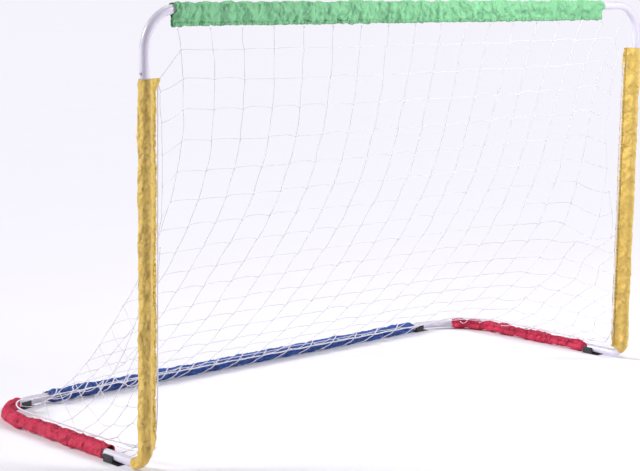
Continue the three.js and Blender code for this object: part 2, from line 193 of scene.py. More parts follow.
# ------------------------------------------------------------------ materials
class Finish:
    """A material, with short ways to add its nodes"""

    def __init__(self, name, base, roughness, metallic=0.0):
        self.material = bpy.data.materials.new(name)
        self.material.use_nodes = True
        self.tree = self.material.node_tree
        self.shader = self.tree.nodes["Principled BSDF"]
        self.set("Base Color", (*base, 1))
        self.set("Roughness", roughness)
        self.set("Metallic", metallic)

    def set(self, socket, value):
        self.shader.inputs[socket].default_value = value

    def node(self, kind, **inputs):
        made = self.tree.nodes.new(kind)
        for key, value in inputs.items():
            socket = made.inputs[key.replace("_", " ")]
            if isinstance(value, bpy.types.NodeSocket):
                self.tree.links.new(value, socket)
            else:
                socket.default_value = value
        return made

    def link(self, output, socket):
        self.tree.links.new(output, self.shader.inputs[socket])

    def object_coordinates(self):
        return self.node("ShaderNodeTexCoord").outputs["Object"]

    def uv(self):
        return self.node("ShaderNodeUVMap").outputs["UV"]

    def stretched(self, vector, scale=(1, 1, 1), turn=0.0):
        node = self.node("ShaderNodeMapping", Vector=vector, Scale=scale, Rotation=(0, 0, turn))
        return node.outputs["Vector"]

    def noise(self, vector, scale, detail=2.0):
        return self.node("ShaderNodeTexNoise", Vector=vector, Scale=scale, Detail=detail).outputs["Fac"]

    def waves(self, vector, period, direction):
        wave = self.node("ShaderNodeTexWave", Vector=vector, Scale=math.pi / (10 * period))
        wave.bands_direction = direction
        return wave.outputs["Fac"]

    def facets(self, vector, scale):
        """Flat facets that meet in sharp creases"""
        node = self.node("ShaderNodeTexVoronoi", Vector=vector, Scale=scale)
        node.distance = "MANHATTAN"
        return node.outputs["Distance"]

    def ramp(self, factor, low, high, start=0.3, end=0.7):
        node = self.node("ShaderNodeValToRGB", Fac=factor)
        for element, position, tint in zip(node.color_ramp.elements, (start, end), (low, high)):
            element.position = position
            element.color = (*tint, 1)
        return node.outputs["Color"]

    def mix(self, factor, a, b, blend="MIX"):
        node = self.tree.nodes.new("ShaderNodeMix")
        node.data_type = "RGBA"
        node.blend_type = blend
        for index, value in ((0, factor), (6, a), (7, b)):
            if isinstance(value, bpy.types.NodeSocket):
                self.tree.links.new(value, node.inputs[index])
            else:
                node.inputs[index].default_value = value
        return node.outputs[2]

    def attribute(self, name):
        node = self.node("ShaderNodeAttribute")
        node.attribute_name = name
        return node.outputs["Fac"]

    def remap(self, value, **ends):
        return self.node("ShaderNodeMapRange", Value=value, **ends).outputs[0]

    def maths(self, operation, *values):
        node = self.tree.nodes.new("ShaderNodeMath")
        node.operation = operation
        for socket, value in zip(node.inputs, values):
            if isinstance(value, bpy.types.NodeSocket):
                self.tree.links.new(value, socket)
            else:
                socket.default_value = value
        return node.outputs[0]

    def times(self, a, b):
        return self.maths("MULTIPLY", a, b)

    def plus(self, a, b):
        return self.maths("ADD", a, b)

    def bump(self, height, strength, distance):
        node = self.node("ShaderNodeBump", Height=height, Strength=strength, Distance=distance)
        self.link(node.outputs["Normal"], "Normal")


def shade(tint, factor):
    return tuple(min(1.0, c * factor) for c in tint)


FINISHES = {}


def finish_for(key):
    if key not in FINISHES:
        FINISHES[key] = MAKERS[key]()
    return FINISHES[key].material


def powder_coat():
    """White powder coat: a fine orange peel, slightly uneven gloss and a faint cool tint"""
    coat = tuple(bpy.context.scene.goal_tubes.coat)
    made = Finish("white_powder_coat", coat, 0.3)
    place = made.object_coordinates()
    made.link(made.ramp(made.noise(place, 9, 3), shade(coat, 0.96), shade(coat, 1.03)), "Base Color")
    made.link(made.remap(made.noise(place, 60, 4), To_Min=0.24, To_Max=0.42), "Roughness")
    made.bump(made.noise(place, 700, 2), 0.12, 0.0004)
    made.set("Coat Weight", 0.25)
    made.set("Coat Roughness", 0.15)
    return made


THREAD = 0.0011  # spacing of the threads in the weave
FOLD_LINE = 0.020  # from the middle of the cloth to the line where it turns off the tube
HEM_EDGE = (0.0125, 0.0105)  # the gathers of the hem fade in between these distances from the edge


def cloth(name, tint, gloss, worn=0.12, tube_shade_tint=None):
    """Thin woven nylon on the cloth's own UV map, in metres.

    A plain weave, sharp and small creases, uneven dye, a gathered hem with painted shade in
    its gathers, and painted shade in a blotched band along each side where the cloth turns off the tube.
    """
    made = Finish(name, tint, 1 - gloss)
    uv = made.uv()
    weave = made.times(made.waves(uv, THREAD, "X"), made.waves(uv, THREAD, "Y"))
    crinkles = made.noise(made.stretched(uv, (1.0, 0.45, 1.0)), 55, 6)

    wander = made.node("ShaderNodeTexNoise", Vector=uv, Scale=30.0, Detail=2.0).outputs["Color"]
    small = made.node("ShaderNodeVectorMath", Vector=wander)
    small.operation = "SCALE"
    small.inputs["Scale"].default_value = 0.022
    shifted = made.node("ShaderNodeVectorMath")
    for socket, output in zip(shifted.inputs, (uv, small.outputs[0])):
        made.tree.links.new(output, socket)
    turned = made.stretched(shifted.outputs[0], turn=0.6)
    creases = made.plus(made.facets(turned, 27), made.times(made.facets(turned, 62), 0.35))

    dye = made.ramp(made.noise(uv, 14, 4), shade(tint, 0.86), shade(tint, 1.1))
    threads = made.ramp(weave, shade(tint, 0.8), shade(tint, 1.12), 0.0, 0.8)
    woven = made.mix(0.35, dye, threads)

    # Painted shade: a darker, blotched band along each side where the cloth turns off the tube, as strong as
    # the piece's attribute and the material's own strength ask
    across = made.node("ShaderNodeSeparateXYZ", Vector=uv).outputs["X"]
    off_line = made.maths("SUBTRACT", made.maths("ABSOLUTE", across), FOLD_LINE)
    band = made.remap(made.maths("ABSOLUTE", off_line), From_Min=0.011, From_Max=0.003)
    patches = made.noise(made.stretched(uv, (1.0, 0.35, 1.0)), 60, 5)
    blotch = made.ramp(patches, (0.15,) * 3, (1, 1, 1), 0.35, 0.62)
    painted_tube_shade = made.times(made.times(band, blotch), made.times(made.attribute("worn"), worn))
    with_tube_shade = made.mix(painted_tube_shade, woven, (*(tube_shade_tint or shade(tint, 0.4)), 1))

    # Painted shade: the hem is darkened in the hollows of its gathers
    in_hem = made.remap(made.attribute("to_edge"), From_Min=HEM_EDGE[0], From_Max=HEM_EDGE[1])
    gathers = made.noise(made.stretched(uv, (0.25, 1.0, 1.0)), 150, 3)
    pucker = made.ramp(gathers, (1, 1, 1), (0, 0, 0), 0.36, 0.52)
    painted_hem_shade = made.times(made.times(in_hem, pucker), 0.7)
    made.link(made.mix(painted_hem_shade, with_tube_shade, (*shade(tint, 0.35), 1)), "Base Color")

    height = made.plus(made.times(crinkles, 1.2), made.times(weave, 0.06))
    height = made.plus(height, made.times(creases, -2.3))
    height = made.plus(height, made.times(made.times(in_hem, gathers), 2.0))
    made.bump(height, 0.85, 0.0055)
    made.link(made.remap(crinkles, To_Min=0.85 - gloss, To_Max=1.12 - gloss), "Roughness")
    made.set("Sheen Weight", 0.35)
    made.set("Sheen Roughness", 0.4)
    made.set("Sheen Tint", (*shade(tint, 1.6), 1))
    return made


def black_plastic():
    """Moulded black plastic: a fine grain, slightly scuffed"""
    made = Finish("black_plastic", (0.018, 0.018, 0.022), 0.45)
    place = made.object_coordinates()
    scuffs = made.noise(made.stretched(place, (1, 6, 1)), 160, 5)
    made.link(made.ramp(scuffs, (0.014, 0.014, 0.018), (0.05, 0.05, 0.056), 0.45, 0.8), "Base Color")
    made.link(made.remap(scuffs, To_Min=0.35, To_Max=0.65), "Roughness")
    made.bump(made.noise(place, 2200, 2), 0.3, 0.0003)
    return made


def steel(name, roughness):
    """Plated steel with a fine drawn grain"""
    made = Finish(name, (0.56, 0.56, 0.58), roughness, 1.0)
    place = made.object_coordinates()
    grain = made.noise(made.stretched(place, (1, 1, 8)), 420, 4)
    made.link(made.ramp(grain, (0.42, 0.42, 0.44), (0.66, 0.66, 0.68)), "Base Color")
    made.link(made.remap(grain, To_Min=roughness - 0.08, To_Max=roughness + 0.15), "Roughness")
    made.bump(grain, 0.15, 0.0002)
    return made


def twine(name, tint):
    """Soft spun twine: short fibres, lighter and darker at random"""
    made = Finish(name, tint, 0.85)
    place = made.object_coordinates()
    fibres = made.noise(place, 900, 3)
    made.link(made.ramp(fibres, shade(tint, 0.78), shade(tint, 1.08)), "Base Color")
    made.bump(fibres, 0.6, 0.0006)
    made.set("Sheen Weight", 0.3)
    made.set("Sheen Roughness", 0.5)
    return made


def thread(name, tint):
    """Sewing thread"""
    made = Finish(name, tint, 0.6)
    fibres = made.noise(made.object_coordinates(), 2500, 2)
    made.link(made.ramp(fibres, shade(tint, 0.8), shade(tint, 1.15)), "Base Color")
    made.bump(fibres, 0.4, 0.0002)
    return made


def cloth_tint(key):
    return tuple(getattr(bpy.context.scene.goal_cloth, key))


def twine_tint():
    return tuple(bpy.context.scene.goal_net.twine)


MAKERS = {
    "white_powder_coat": powder_coat,
    "plated_steel": lambda: steel("plated_steel", 0.25),
    "spring_steel": lambda: steel("spring_steel", 0.35),
    "black_plastic": black_plastic,
    "green_cloth": lambda: cloth("green_cloth", cloth_tint("green"), 0.45),
    # The yellow sleeves get a strong, brown-olive band of painted shade along their tubes
    "yellow_cloth": lambda: cloth("yellow_cloth", cloth_tint("yellow"), 0.45, 0.75, (0.34, 0.20, 0.05)),
    "red_cloth": lambda: cloth("red_cloth", cloth_tint("red"), 0.4),
    "blue_cloth": lambda: cloth("blue_cloth", cloth_tint("blue"), 0.45),
    **{
        f"{dye}_thread": lambda dye=dye: thread(f"{dye}_thread", shade(cloth_tint(dye), 0.85))
        for dye in ("green", "yellow", "red", "blue")
    },
    "white_twine": lambda: twine("white_twine", twine_tint()),
    "white_cord": lambda: twine("white_cord", shade(twine_tint(), 1.05)),
}


# ------------------------------------------------------------------ making pieces
def add_object(name, data):
    made = bpy.data.objects.new(name, data)
    bpy.context.scene.collection.objects.link(made)
    return made


def mesh_object(name, bm):
    """Turns a bmesh into an object"""
    mesh = bpy.data.meshes.new(name)
    bm.to_mesh(mesh)
    bm.free()
    return add_object(name, mesh)


def evaluated_mesh(made):
    """A new mesh of an object as its modifiers leave it"""
    graph = bpy.context.evaluated_depsgraph_get()
    return bpy.data.meshes.new_from_object(made.evaluated_get(graph))


def soften(mesh, sharp=35):
    """Smooth shading, with edges kept sharp over an angle in degrees"""
    mesh.shade_smooth()
    mesh.set_sharp_from_angle(angle=math.radians(sharp))


def paint(made, key):
    made.data.materials.clear()
    made.data.materials.append(finish_for(key))


def piece(name, bm, slot, body=BODY, replaced=(), sharp=35):
    """Turns a bmesh into a finished piece of the object"""
    made = mesh_object(name, bm)
    soften(made.data, sharp)
    paint(made, slot)
    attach(made, body)
    if replaced:
        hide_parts(*replaced)
    return made


def bake_modifiers(made):
    """Replaces an object's mesh by the one that its modifiers give"""
    mesh = evaluated_mesh(made)
    made.modifiers.clear()
    old = made.data
    made.data = mesh
    mesh.name = made.name
    bpy.data.meshes.remove(old)


def remove(made):
    data = made.data
    bpy.data.objects.remove(made)
    if isinstance(data, bpy.types.Mesh):
        bpy.data.meshes.remove(data)


def basis(side, axis, origin):
    """A matrix that turns local X to side and local Z to axis, at origin"""
    side, axis = Vector(side).normalized(), Vector(axis).normalized()
    turned = Matrix((side, axis.cross(side), axis)).transposed().to_4x4()
    turned.translation = origin
    return turned


def made_vertices(result):
    return [g for g in result if isinstance(g, bmesh.types.BMVert)]


class Run:
    """Draws a ring of edges along a flat line of straights and bends.

    Turning by a positive angle goes round the normal to the left.
    """

    def __init__(self, bm, ring, centre, heading, normal):
        self.bm = bm
        self.ring = list(ring)
        self.centre = Vector(centre)
        self.heading = Vector(heading)
        self.normal = Vector(normal)
        self.row = None
        self.step = 0
        self.path = [(self.centre.copy(), self.heading.copy())]

    @classmethod
    def tube(cls, bm, centre, heading, normal, radius, segments):
        at = basis(Vector(normal).cross(Vector(heading)), heading, centre)
        made = bmesh.ops.create_circle(bm, radius=radius, segments=segments, matrix=at)
        return cls(bm, {e for v in made["verts"] for e in v.link_edges}, centre, heading, normal)

    def _extrude(self):
        made = bmesh.ops.extrude_edge_only(self.bm, edges=self.ring)["geom"]
        verts = made_vertices(made)
        inside = set(verts)
        self.ring = [e for e in made if isinstance(e, bmesh.types.BMEdge) and set(e.verts) <= inside]
        self.step += 1
        if self.row:
            for vert in verts:
                vert[self.row] = self.step
        return verts

    def straight(self, distance, steps=1, scale=1.0):
        for _ in range(steps):
            verts = self._extrude()
            step = self.heading * (distance / steps)
            self.centre += step
            bmesh.ops.translate(self.bm, vec=step, verts=verts)
            self.path.append((self.centre.copy(), self.heading.copy()))
            if scale != 1.0:
                around = Matrix.Translation(-self.centre)
                bmesh.ops.scale(self.bm, vec=(scale,) * 3, space=around, verts=verts)
        return self

    def bend(self, radius, angle, steps):
        left = self.normal.cross(self.heading)
        pivot = self.centre + left * math.copysign(radius, angle)
        for _ in range(steps):
            verts = self._extrude()
            turn = Matrix.Rotation(angle / steps, 3, self.normal)
            bmesh.ops.rotate(self.bm, cent=pivot, matrix=turn, verts=verts)
            self.centre = pivot + turn @ (self.centre - pivot)
            self.heading = turn @ self.heading
            self.path.append((self.centre.copy(), self.heading.copy()))
        return self


def lathe(bm, profile, at, steps):
    """Spins a profile of (radius, height) about the z axis of the matrix `at`"""
    verts = [bm.verts.new((r, 0, h)) for r, h in profile]
    edges = [bm.edges.new(pair) for pair in zip(verts, verts[1:])]
    bmesh.ops.spin(
        bm, geom=verts + edges, cent=(0, 0, 0), axis=(0, 0, 1), angle=2 * math.pi, steps=steps, use_merge=True
    )
    bmesh.ops.remove_doubles(bm, verts=bm.verts[:], dist=1e-6)
    bmesh.ops.recalc_face_normals(bm, faces=bm.faces[:])
    bmesh.ops.transform(bm, matrix=at, verts=bm.verts[:])


# ------------------------------------------------------------------ frame tubes
JOINTS = {
    "crossbar": (Vector((CROSSBAR_JOINT_X, FRONT_Y, CROSSBAR_Z)), -X),
    "post_left": (Vector((-POST_X, FRONT_Y, POST_JOINT_Z)), Z),
    "post_right": (Vector((POST_X, FRONT_Y, POST_JOINT_Z)), Z),
    "side_left": (Vector((-POST_X, SIDE_JOINT_Y, BASE_Z)), -Y),
    "side_right": (Vector((POST_X, SIDE_JOINT_Y, BASE_Z)), -Y),
    "rear_left": (Vector((-REAR_JOINT_X, REAR_Y, BASE_Z)), -X),
    "rear_right": (Vector((REAR_JOINT_X, REAR_Y, BASE_Z)), X),
    "rear_middle": (Vector((REAR_MIDDLE_X, REAR_Y, BASE_Z)), -X),
}


def button_place(key):
    """Where a snap button crosses the tube's centre line, and the way it looks"""
    joint = next(j for j in frame["joints"] if j["child"] == f"button_{key}")
    out = -Vector(joint["axis"])
    centre = middle(f"button_{key}")
    end, into = JOINTS[key]
    on_line = end + into * (centre - end).dot(into)
    return on_line, out


def drill_holes(tube, keys, radius):
    bm = bmesh.new()
    for key in keys:
        centre, out = button_place(key)
        at = basis(JOINTS[key][1], out, centre + out * TUBE_R)
        bmesh.ops.create_cone(
            bm, cap_ends=True, segments=24, radius1=radius, radius2=radius, depth=TUBE_R, matrix=at
        )
    drill = mesh_object("drill", bm)
    cut = tube.modifiers.new("holes", "BOOLEAN")
    cut.operation = "DIFFERENCE"
    cut.solver = "EXACT"
    cut.object = drill
    bake_modifiers(tube)
    remove(drill)
    soften(tube.data)


class GOAL_OT_tubes(bpy.types.Operator):
    """Draws the eight steel tubes, with their bends, reduced ends, walls and button holes"""

    bl_idname = "goal.tubes"
    bl_label = "Steel tubes"

    def execute(self, context):
        size = context.scene.goal_tubes
        quarter = math.pi / 2
        near_hole = 0.012  # from a button hole to the rings of edges on each side of it

        def frame_tube(node, start, heading, normal, moves, reduced=(), drilled=()):
            bm = bmesh.new()
            run = Run.tube(bm, start, heading, normal, TUBE_R, size.segments)
            for move in moves:
                move(run)
            if "start" in reduced:
                self.reduce(bm, start, heading, size)
            if "end" in reduced:
                self.reduce(bm, run.centre, run.heading, size)
            bmesh.ops.recalc_face_normals(bm, faces=bm.faces[:])
            made = piece(f"tube_{node}", bm, "white_powder_coat", replaced=[node])
            wall = made.modifiers.new("wall", "SOLIDIFY")
            wall.thickness = size.wall
            wall.offset = -1
            drill_holes(made, drilled, size.hole_r)
            return made

        def go(distance, steps=1):
            return lambda run: run.straight(distance, steps)

        def turn(radius, angle, steps):
            return lambda run: run.bend(radius, angle, steps)

        def to_joint(distance):
            """Goes to the end of a tube, past its button hole"""
            return [go(distance - hole - near_hole), go(2 * near_hole), go(hole - near_hole)]

        shoulder = size.shoulder
        top = POST_X - size.top_bend
        leg = CROSSBAR_Z - size.top_bend - POST_JOINT_Z
        hole = abs((button_place("crossbar")[0] - JOINTS["crossbar"][0]).length)
        frame_tube(
            "crossbar_left", JOINTS["crossbar"][0], -X, -Y,
            [go(hole - near_hole), go(2 * near_hole), go(top + CROSSBAR_JOINT_X - hole - near_hole),
             turn(size.top_bend, quarter, 20), *to_joint(leg)],
            drilled=["crossbar", "post_left"],
        )
        start = JOINTS["crossbar"][0] + X * shoulder
        frame_tube(
            "crossbar_right", start, X, Y,
            [go(top - start.x), turn(size.top_bend, quarter, 20), *to_joint(leg)],
            reduced=["start"], drilled=["crossbar", "post_right"],
        )
        for hand, sign in SIDES:
            toe = size.toe_bend
            frame_tube(
                f"post_{hand}", JOINTS[f"post_{hand}"][0] - Z * shoulder, -Z, X,
                [go(POST_JOINT_Z - shoulder - BASE_Z - toe), turn(toe, quarter, 14),
                 *to_joint(SIDE_JOINT_Y - FRONT_Y - toe)],
                reduced=["start"], drilled=[f"post_{hand}", f"side_{hand}"],
            )
            bend = size.rear_bend
            frame_tube(
                f"side_bar_{hand}", JOINTS[f"side_{hand}"][0] + Y * shoulder, Y, Z,
                [go(REAR_Y - bend - SIDE_JOINT_Y - shoulder), turn(bend, sign * quarter, 28),
                 *to_joint(POST_X - bend - REAR_JOINT_X)],
                reduced=["start"], drilled=[f"side_{hand}", f"rear_{hand}"],
            )
        left_start = JOINTS["rear_left"][0] + X * shoulder
        frame_tube(
            "rear_bar_left", left_start, X, Z,
            to_joint(REAR_MIDDLE_X - left_start.x),
            reduced=["start"], drilled=["rear_left", "rear_middle"],
        )
        right_start = JOINTS["rear_middle"][0] + X * shoulder
        frame_tube(
            "rear_bar_right", right_start, X, Z, [go(REAR_JOINT_X - shoulder - right_start.x)],
            reduced=["start", "end"], drilled=["rear_middle", "rear_right"],
        )
        return {"FINISHED"}

    def reduce(self, bm, at, away, size):
        """Adds the taper and the reduced end to the open ring that lies at `at`"""
        before_hole, round_hole = 0.010, 0.032
        ring = [
            e for e in bm.edges
            if e.is_boundary and all((v.co - at).length < TUBE_R * 1.01 for v in e.verts)
        ]
        heading = -away if (at - self.inside(bm)).dot(away) < 0 else away
        run = Run(bm, ring, at, heading, Z)
        run.straight(size.shoulder, 1, size.reduced_r / TUBE_R)
        for part in (before_hole, round_hole, size.reduced_length - before_hole - round_hole):
            run.straight(part)

    @staticmethod
    def inside(bm):
        return sum((v.co for v in bm.verts), Vector()) / len(bm.verts)


# ------------------------------------------------------------------ snap buttons and springs
class GOAL_OT_buttons(bpy.types.Operator):
    """Turns the eight domed snap buttons and gives their springs a steel finish"""

    bl_idname = "goal.buttons"
    bl_label = "Snap buttons"

    def execute(self, context):
        for key in JOINTS:
            centre, out = button_place(key)
            low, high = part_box(f"button_{key}")
            radius = sorted(high - low)[0] / 2
            along = sorted((p - centre).dot(out) for p in (low, high))
            stem, seat, dome = radius * 0.58, 0.008, 0.0016
            profile = [
                (0, along[0]), (stem, along[0]), (stem, seat), (radius, seat), (radius, along[1] - dome),
            ]
            profile += [
                (radius * math.cos(a), along[1] - dome + dome * math.sin(a))
                for a in (math.radians(d) for d in (25, 50, 70))
            ]
            profile.append((0, along[1]))
            bm = bmesh.new()
            lathe(bm, profile, basis(JOINTS[key][1], out, centre), 24)
            node = f"button_{key}"
            piece(f"snap_{node}", bm, "plated_steel", body=node, replaced=[node])
            spring = frame["nodes"][f"spring_{key}"]
            paint(spring, "spring_steel")
        return {"FINISHED"}


# ------------------------------------------------------------------ feet
class GOAL_OT_feet(bpy.types.Operator):
    """Moulds the four clip-on feet, each a clip with a flat sole and a low toe"""

    bl_idname = "goal.feet"
    bl_label = "Feet"

    def execute(self, context):
        for node in ("foot_front_left", "foot_front_right", "foot_rear_left", "foot_rear_right"):
            self.foot(node)
        return {"FINISHED"}

    def foot(self, node):
        cad = frame["nodes"][node]
        made = add_object(f"clip_{node}", cad.data.copy())
        bm = bmesh.new()
        bm.from_mesh(made.data)
        bmesh.ops.remove_doubles(bm, verts=bm.verts[:], dist=1e-5)
        bmesh.ops.dissolve_limit(bm, angle_limit=math.radians(2), verts=bm.verts[:], edges=bm.edges[:])
        sharp = [e for e in bm.edges if e.is_manifold and e.calc_face_angle(0) > math.radians(40)]
        bmesh.ops.bevel(
            bm, geom=sharp, offset=0.0007, offset_type="OFFSET", affect="EDGES", segments=2,
            profile=0.5, material=-1, clamp_overlap=True,
        )
        bm.to_mesh(made.data)
        bm.free()
        soften(made.data)
        paint(made, "black_plastic")
        made.pop("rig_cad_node", None)
        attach(made, BODY)
        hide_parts(node)


# ------------------------------------------------------------------ sleeves
def teardrop(r, tip, reach, turn, count):
    """Outline round a tube with a flap drawn out to one side, in even steps from the flap's edge"""
    lean = math.acos((r - tip) / reach)
    full = 2 * math.pi
    arcs = ((reach, tip, 0, lean), (0, r, lean, full - lean), (reach, tip, full - lean, full))
    dense = np.array([
        (centre + radius * math.cos(a), radius * math.sin(a))
        for centre, radius, start, end in arcs
        for a in np.linspace(start, end, 60)
    ])
    steps = np.r_[0, np.cumsum(np.linalg.norm(np.diff(dense, axis=0), axis=1))]
    at = np.arange(count) / count * steps[-1]
    x, y = (np.interp(at, steps, dense[:, k]) for k in (0, 1))
    c, s = math.cos(turn), math.sin(turn)
    return np.stack([c * x - s * y, s * x + c * y], axis=1), steps[-1]


SNUG = 0.0012  # gap between the tube and cloth that lies close to it
END_GAP = 0.0013  # the same at a sleeve's end
CUFF = 0.014  # length over which a sleeve's end closes in to the tube
HALF_FLAP = 0.0009  # least distance of a closed flap's face from its middle


class Sleeve:
    """A tube of cloth drawn round a frame tube, then draped by simulation"""

    def __init__(self, name, node, slot, start, heading, normal, moves, shape, gather, trim=None):
        self.name, self.node, self.slot = name, node, slot
        self.start, self.heading, self.normal = Vector(start), Vector(heading), Vector(normal)
        self.moves = moves
        self.r, self.tip, self.reach, self.turn = shape
        self.gather = gather
        self.trim = trim or {}
        self.grid = bpy.context.scene.goal_cloth.grid
        self.outline()
        self.draw()

    def outline(self):
        _, around = teardrop(self.r, self.tip, self.reach, self.turn, 8)
        self.count = 2 * round(around / self.grid / 2)
        self.section, self.around = teardrop(self.r, self.tip, self.reach, self.turn, self.count)

    def draw(self):
        bm = bmesh.new()
        at = basis(self.normal.cross(self.heading), self.heading, self.start)
        number = bm.verts.layers.int.new("around")
        row = bm.verts.layers.int.new("along")
        ring = bmesh.ops.create_circle(bm, radius=self.r, segments=self.count)["verts"]
        for k, (vert, place) in enumerate(zip(ring, self.section)):
            vert.co = at @ Vector((*place, 0))
            vert[number] = k
        run = Run(bm, {e for v in ring for e in v.link_edges}, self.start, self.heading, self.normal)
        run.row = row
        travel = 0.0
        for kind, *values in self.moves:
            if kind == "straight":
                steps = max(1, round(values[0] / self.grid))
                run.straight(values[0], steps)
                travel += values[0]
            else:
                steps = max(1, round(abs(values[1]) * values[0] / self.grid))
                run.bend(values[0], values[1], steps)
                travel += abs(values[1]) * values[0]
        self.length = travel
        self.rows = run.step
        for vert in bm.verts:
            self.fit(vert, vert[number], vert[row], run.path[vert[row]])
        bmesh.ops.recalc_face_normals(bm, faces=bm.faces[:])
        self.unwrap(bm, number, row)
        self.k = [v[number] for v in bm.verts]
        self.j = [v[row] for v in bm.verts]
        self.made = mesh_object(self.name, bm)

    def fit(self, vert, k, j, place):
        """Draws the ends in to the tube, and cuts the flap wider or narrower along its length"""
        centre, heading = place
        travel = self.length * j / self.rows
        c, s = math.cos(self.turn), math.sin(self.turn)
        x, y = self.section[k]
        reach, across = c * x + s * y, c * y - s * x
        from_end = min(travel, self.length - travel)
        closed = 1 - min(1.0, from_end / self.trim.get("cuff", CUFF))
        narrow = 1 - closed * (1 - (TUBE_R + END_GAP) / self.r)
        if reach <= self.r:
            reach, across = reach * narrow, across * narrow
        if reach > 0:
            bare = math.sqrt(max(0.0, (TUBE_R + SNUG) ** 2 - reach**2))
            least = max(abs(across) * (1 - closed), bare, min(abs(across), HALF_FLAP))
            across = math.copysign(least, across)
        if reach > self.r:
            wide = 1 + self.trim.get("flare", 0.0) * math.exp(-((travel / CUFF) ** 2))
            start, last = self.trim.get("taper", (self.length, 1.0))
            if travel > start:
                done = min(1.0, (travel - start) / (self.length - start) * 1.3)
                wide *= 1 + (last - 1) * done
            reach = self.r + (reach - self.r) * wide
        side = self.normal.cross(heading)
        out = heading.cross(side)
        shift = 0.0
        if "tongue" in self.trim:
            spread, size = self.trim["tongue"]
            facing = max(0.0, math.cos((k / self.count - spread) * 2 * math.pi))
            shift = -size * max(0.0, 1 - travel / 0.05) * facing**2
        vert.co = (
            centre + side * (c * reach - s * across) + out * (s * reach + c * across) + heading * shift
        )

    def unwrap(self, bm, number, row):
        """Lays the cloth out flat in metres"""
        uv = bm.loops.layers.uv.new("UVMap")
        across, down = self.around / self.count, self.length * (1 + self.gather) / self.rows
        for face in bm.faces:
            seam = {v[number] for v in face.verts} == {0, self.count - 1}
            for loop in face.loops:
                k = loop.vert[number]
                k = self.count if seam and k == 0 else k
                loop[uv].uv = (k * across - self.around / 2, loop.vert[row] * down)

    def drape(self, held, frames=26):
        """Lets the cloth fall. `held` gives how firmly the vertex at (around, along) is held"""
        made = self.made
        pins = made.vertex_groups.new(name="held")
        for index, (k, j) in enumerate(zip(self.k, self.j)):
            pins.add([index], held(k, j), "REPLACE")
        cloth = made.modifiers.new("cloth", "CLOTH")
        fall = cloth.settings
        fall.shrink_min = -self.gather
        fall.vertex_group_mass = "held"
        fall.quality = 6
        fall.mass = 0.003
        fall.tension_stiffness = fall.compression_stiffness = 20
        fall.shear_stiffness = 6
        fall.bending_stiffness = 0.01
        fall.tension_damping = fall.compression_damping = fall.shear_damping = 10
        fall.bending_damping = 1.0
        fall.air_damping = 2
        hits = cloth.collision_settings
        hits.distance_min = 0.0012
        hits.collision_quality = 3
        hits.use_self_collision = True
        hits.self_distance_min = 0.0015
        cloth.point_cache.frame_end = frames
        for frame_number in range(1, frames + 1):
            bpy.context.scene.frame_set(frame_number)
        mesh = evaluated_mesh(made)
        bpy.context.scene.frame_set(1)
        name = made.name
        bpy.data.objects.remove(made)
        mesh.name = name
        self.made = add_object(name, mesh)

    def finish(self, looks):
        made = self.made
        smooth = made.modifiers.new("smooth", "SUBSURF")
        smooth.levels = smooth.render_levels = 1
        bake_modifiers(made)
        self.crease(looks)
        made.data.shade_smooth()
        paint(made, self.slot)
        wall = made.modifiers.new("thickness", "SOLIDIFY")
        wall.thickness = bpy.context.scene.goal_cloth.thickness
        wall.offset = 1
        bake_modifiers(made)
        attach(made, BODY)
        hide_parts(self.node)

    def flat_places(self):
        """The place of every vertex on the flat cloth: round the tube, and along it"""
        mesh = self.made.data
        uv = np.zeros(len(mesh.loops) * 2)
        mesh.uv_layers[0].data.foreach_get("uv", uv)
        corners = np.zeros(len(mesh.loops), int)
        mesh.loops.foreach_get("vertex_index", corners)
        flat = np.zeros((len(mesh.vertices), 2))
        flat[corners] = uv.reshape(-1, 2)
        return flat

    def crease(self, looks):
        """Presses sharp creases, a gathered hem and its seam into the cloth"""
        mesh = self.made.data
        flat = self.flat_places()
        count = len(mesh.vertices)
        place, normal = np.zeros(count * 3), np.zeros(count * 3)
        mesh.vertices.foreach_get("co", place)
        mesh.vertices.foreach_get("normal", normal)
        place, normal = place.reshape(-1, 3), normal.reshape(-1, 3)
        seam, hem = looks["seam"], looks["hem"]
        longest = flat[:, 1].max()
        height = np.zeros(count)
        seed = Vector((0, 0, looks["seed"]))
        for i, (u, v) in enumerate(flat):
            near = self.around / 2 - abs(u)
            sharp = self.folds(Vector((u, v * looks["lean"], 0)), looks["fold"], seed)
            height[i] = looks["depth"] * sharp
            if near < hem:
                pucker = noise.noise(Vector((near * 60, v / looks["pucker"], looks["seed"])))
                height[i] += looks["pucker_depth"] * max(0.0, 0.5 + pucker) * min(1.0, near / 0.002)
                height[i] -= 0.4 * looks["depth"] * sharp
            height[i] -= looks["seam_depth"] * math.exp(-(((near - seam) / 0.0016) ** 2))
            if "rings" in looks:
                height[i] += looks["rings"] * self.ring_fold(u, v, seed)
                for share, tight in looks["ties"]:
                    height[i] -= tight * math.exp(-(((v - share * longest) / 0.009) ** 2))
        # The second attribute gives how strongly the cloth material paints shade along the tube
        to_edge, worn = self.around / 2 - np.abs(flat[:, 0]), np.full(count, looks.get("worn", 1.0))
        for name, values in (("to_edge", to_edge), ("worn", worn)):
            mesh.attributes.new(name, "FLOAT", "POINT").data.foreach_set("value", values)
        height = np.maximum(height, looks.get("lowest", -0.0008))
        place = place + normal * height[:, None]
        if "floor" in looks:
            place[:, 2] = np.maximum(place[:, 2], looks["floor"])
        mesh.vertices.foreach_set("co", place.ravel())
        mesh.update()

    @staticmethod
    def folds(flat, size, seed):
        """Crumpled cloth: facets between sharp creases, from 0 in the hollows to 1 on the ridges"""
        c, s = 0.83, 0.56
        spot = Vector((c * flat.x - s * flat.y, s * flat.x + c * flat.y, 0)) / size + seed
        warp = Vector((noise.noise(spot * 0.6), noise.noise(spot * 0.6 + Vector((9, 4, 2))), 0)) * 0.9
        broad = noise.voronoi(spot + warp, distance_metric="MANHATTAN")[0][0]
        fine = noise.voronoi(spot * 2.3 + warp, distance_metric="MANHATTAN")[0][0]
        return 1.1 - min(1.1, 0.95 * broad) - 0.3 * fine

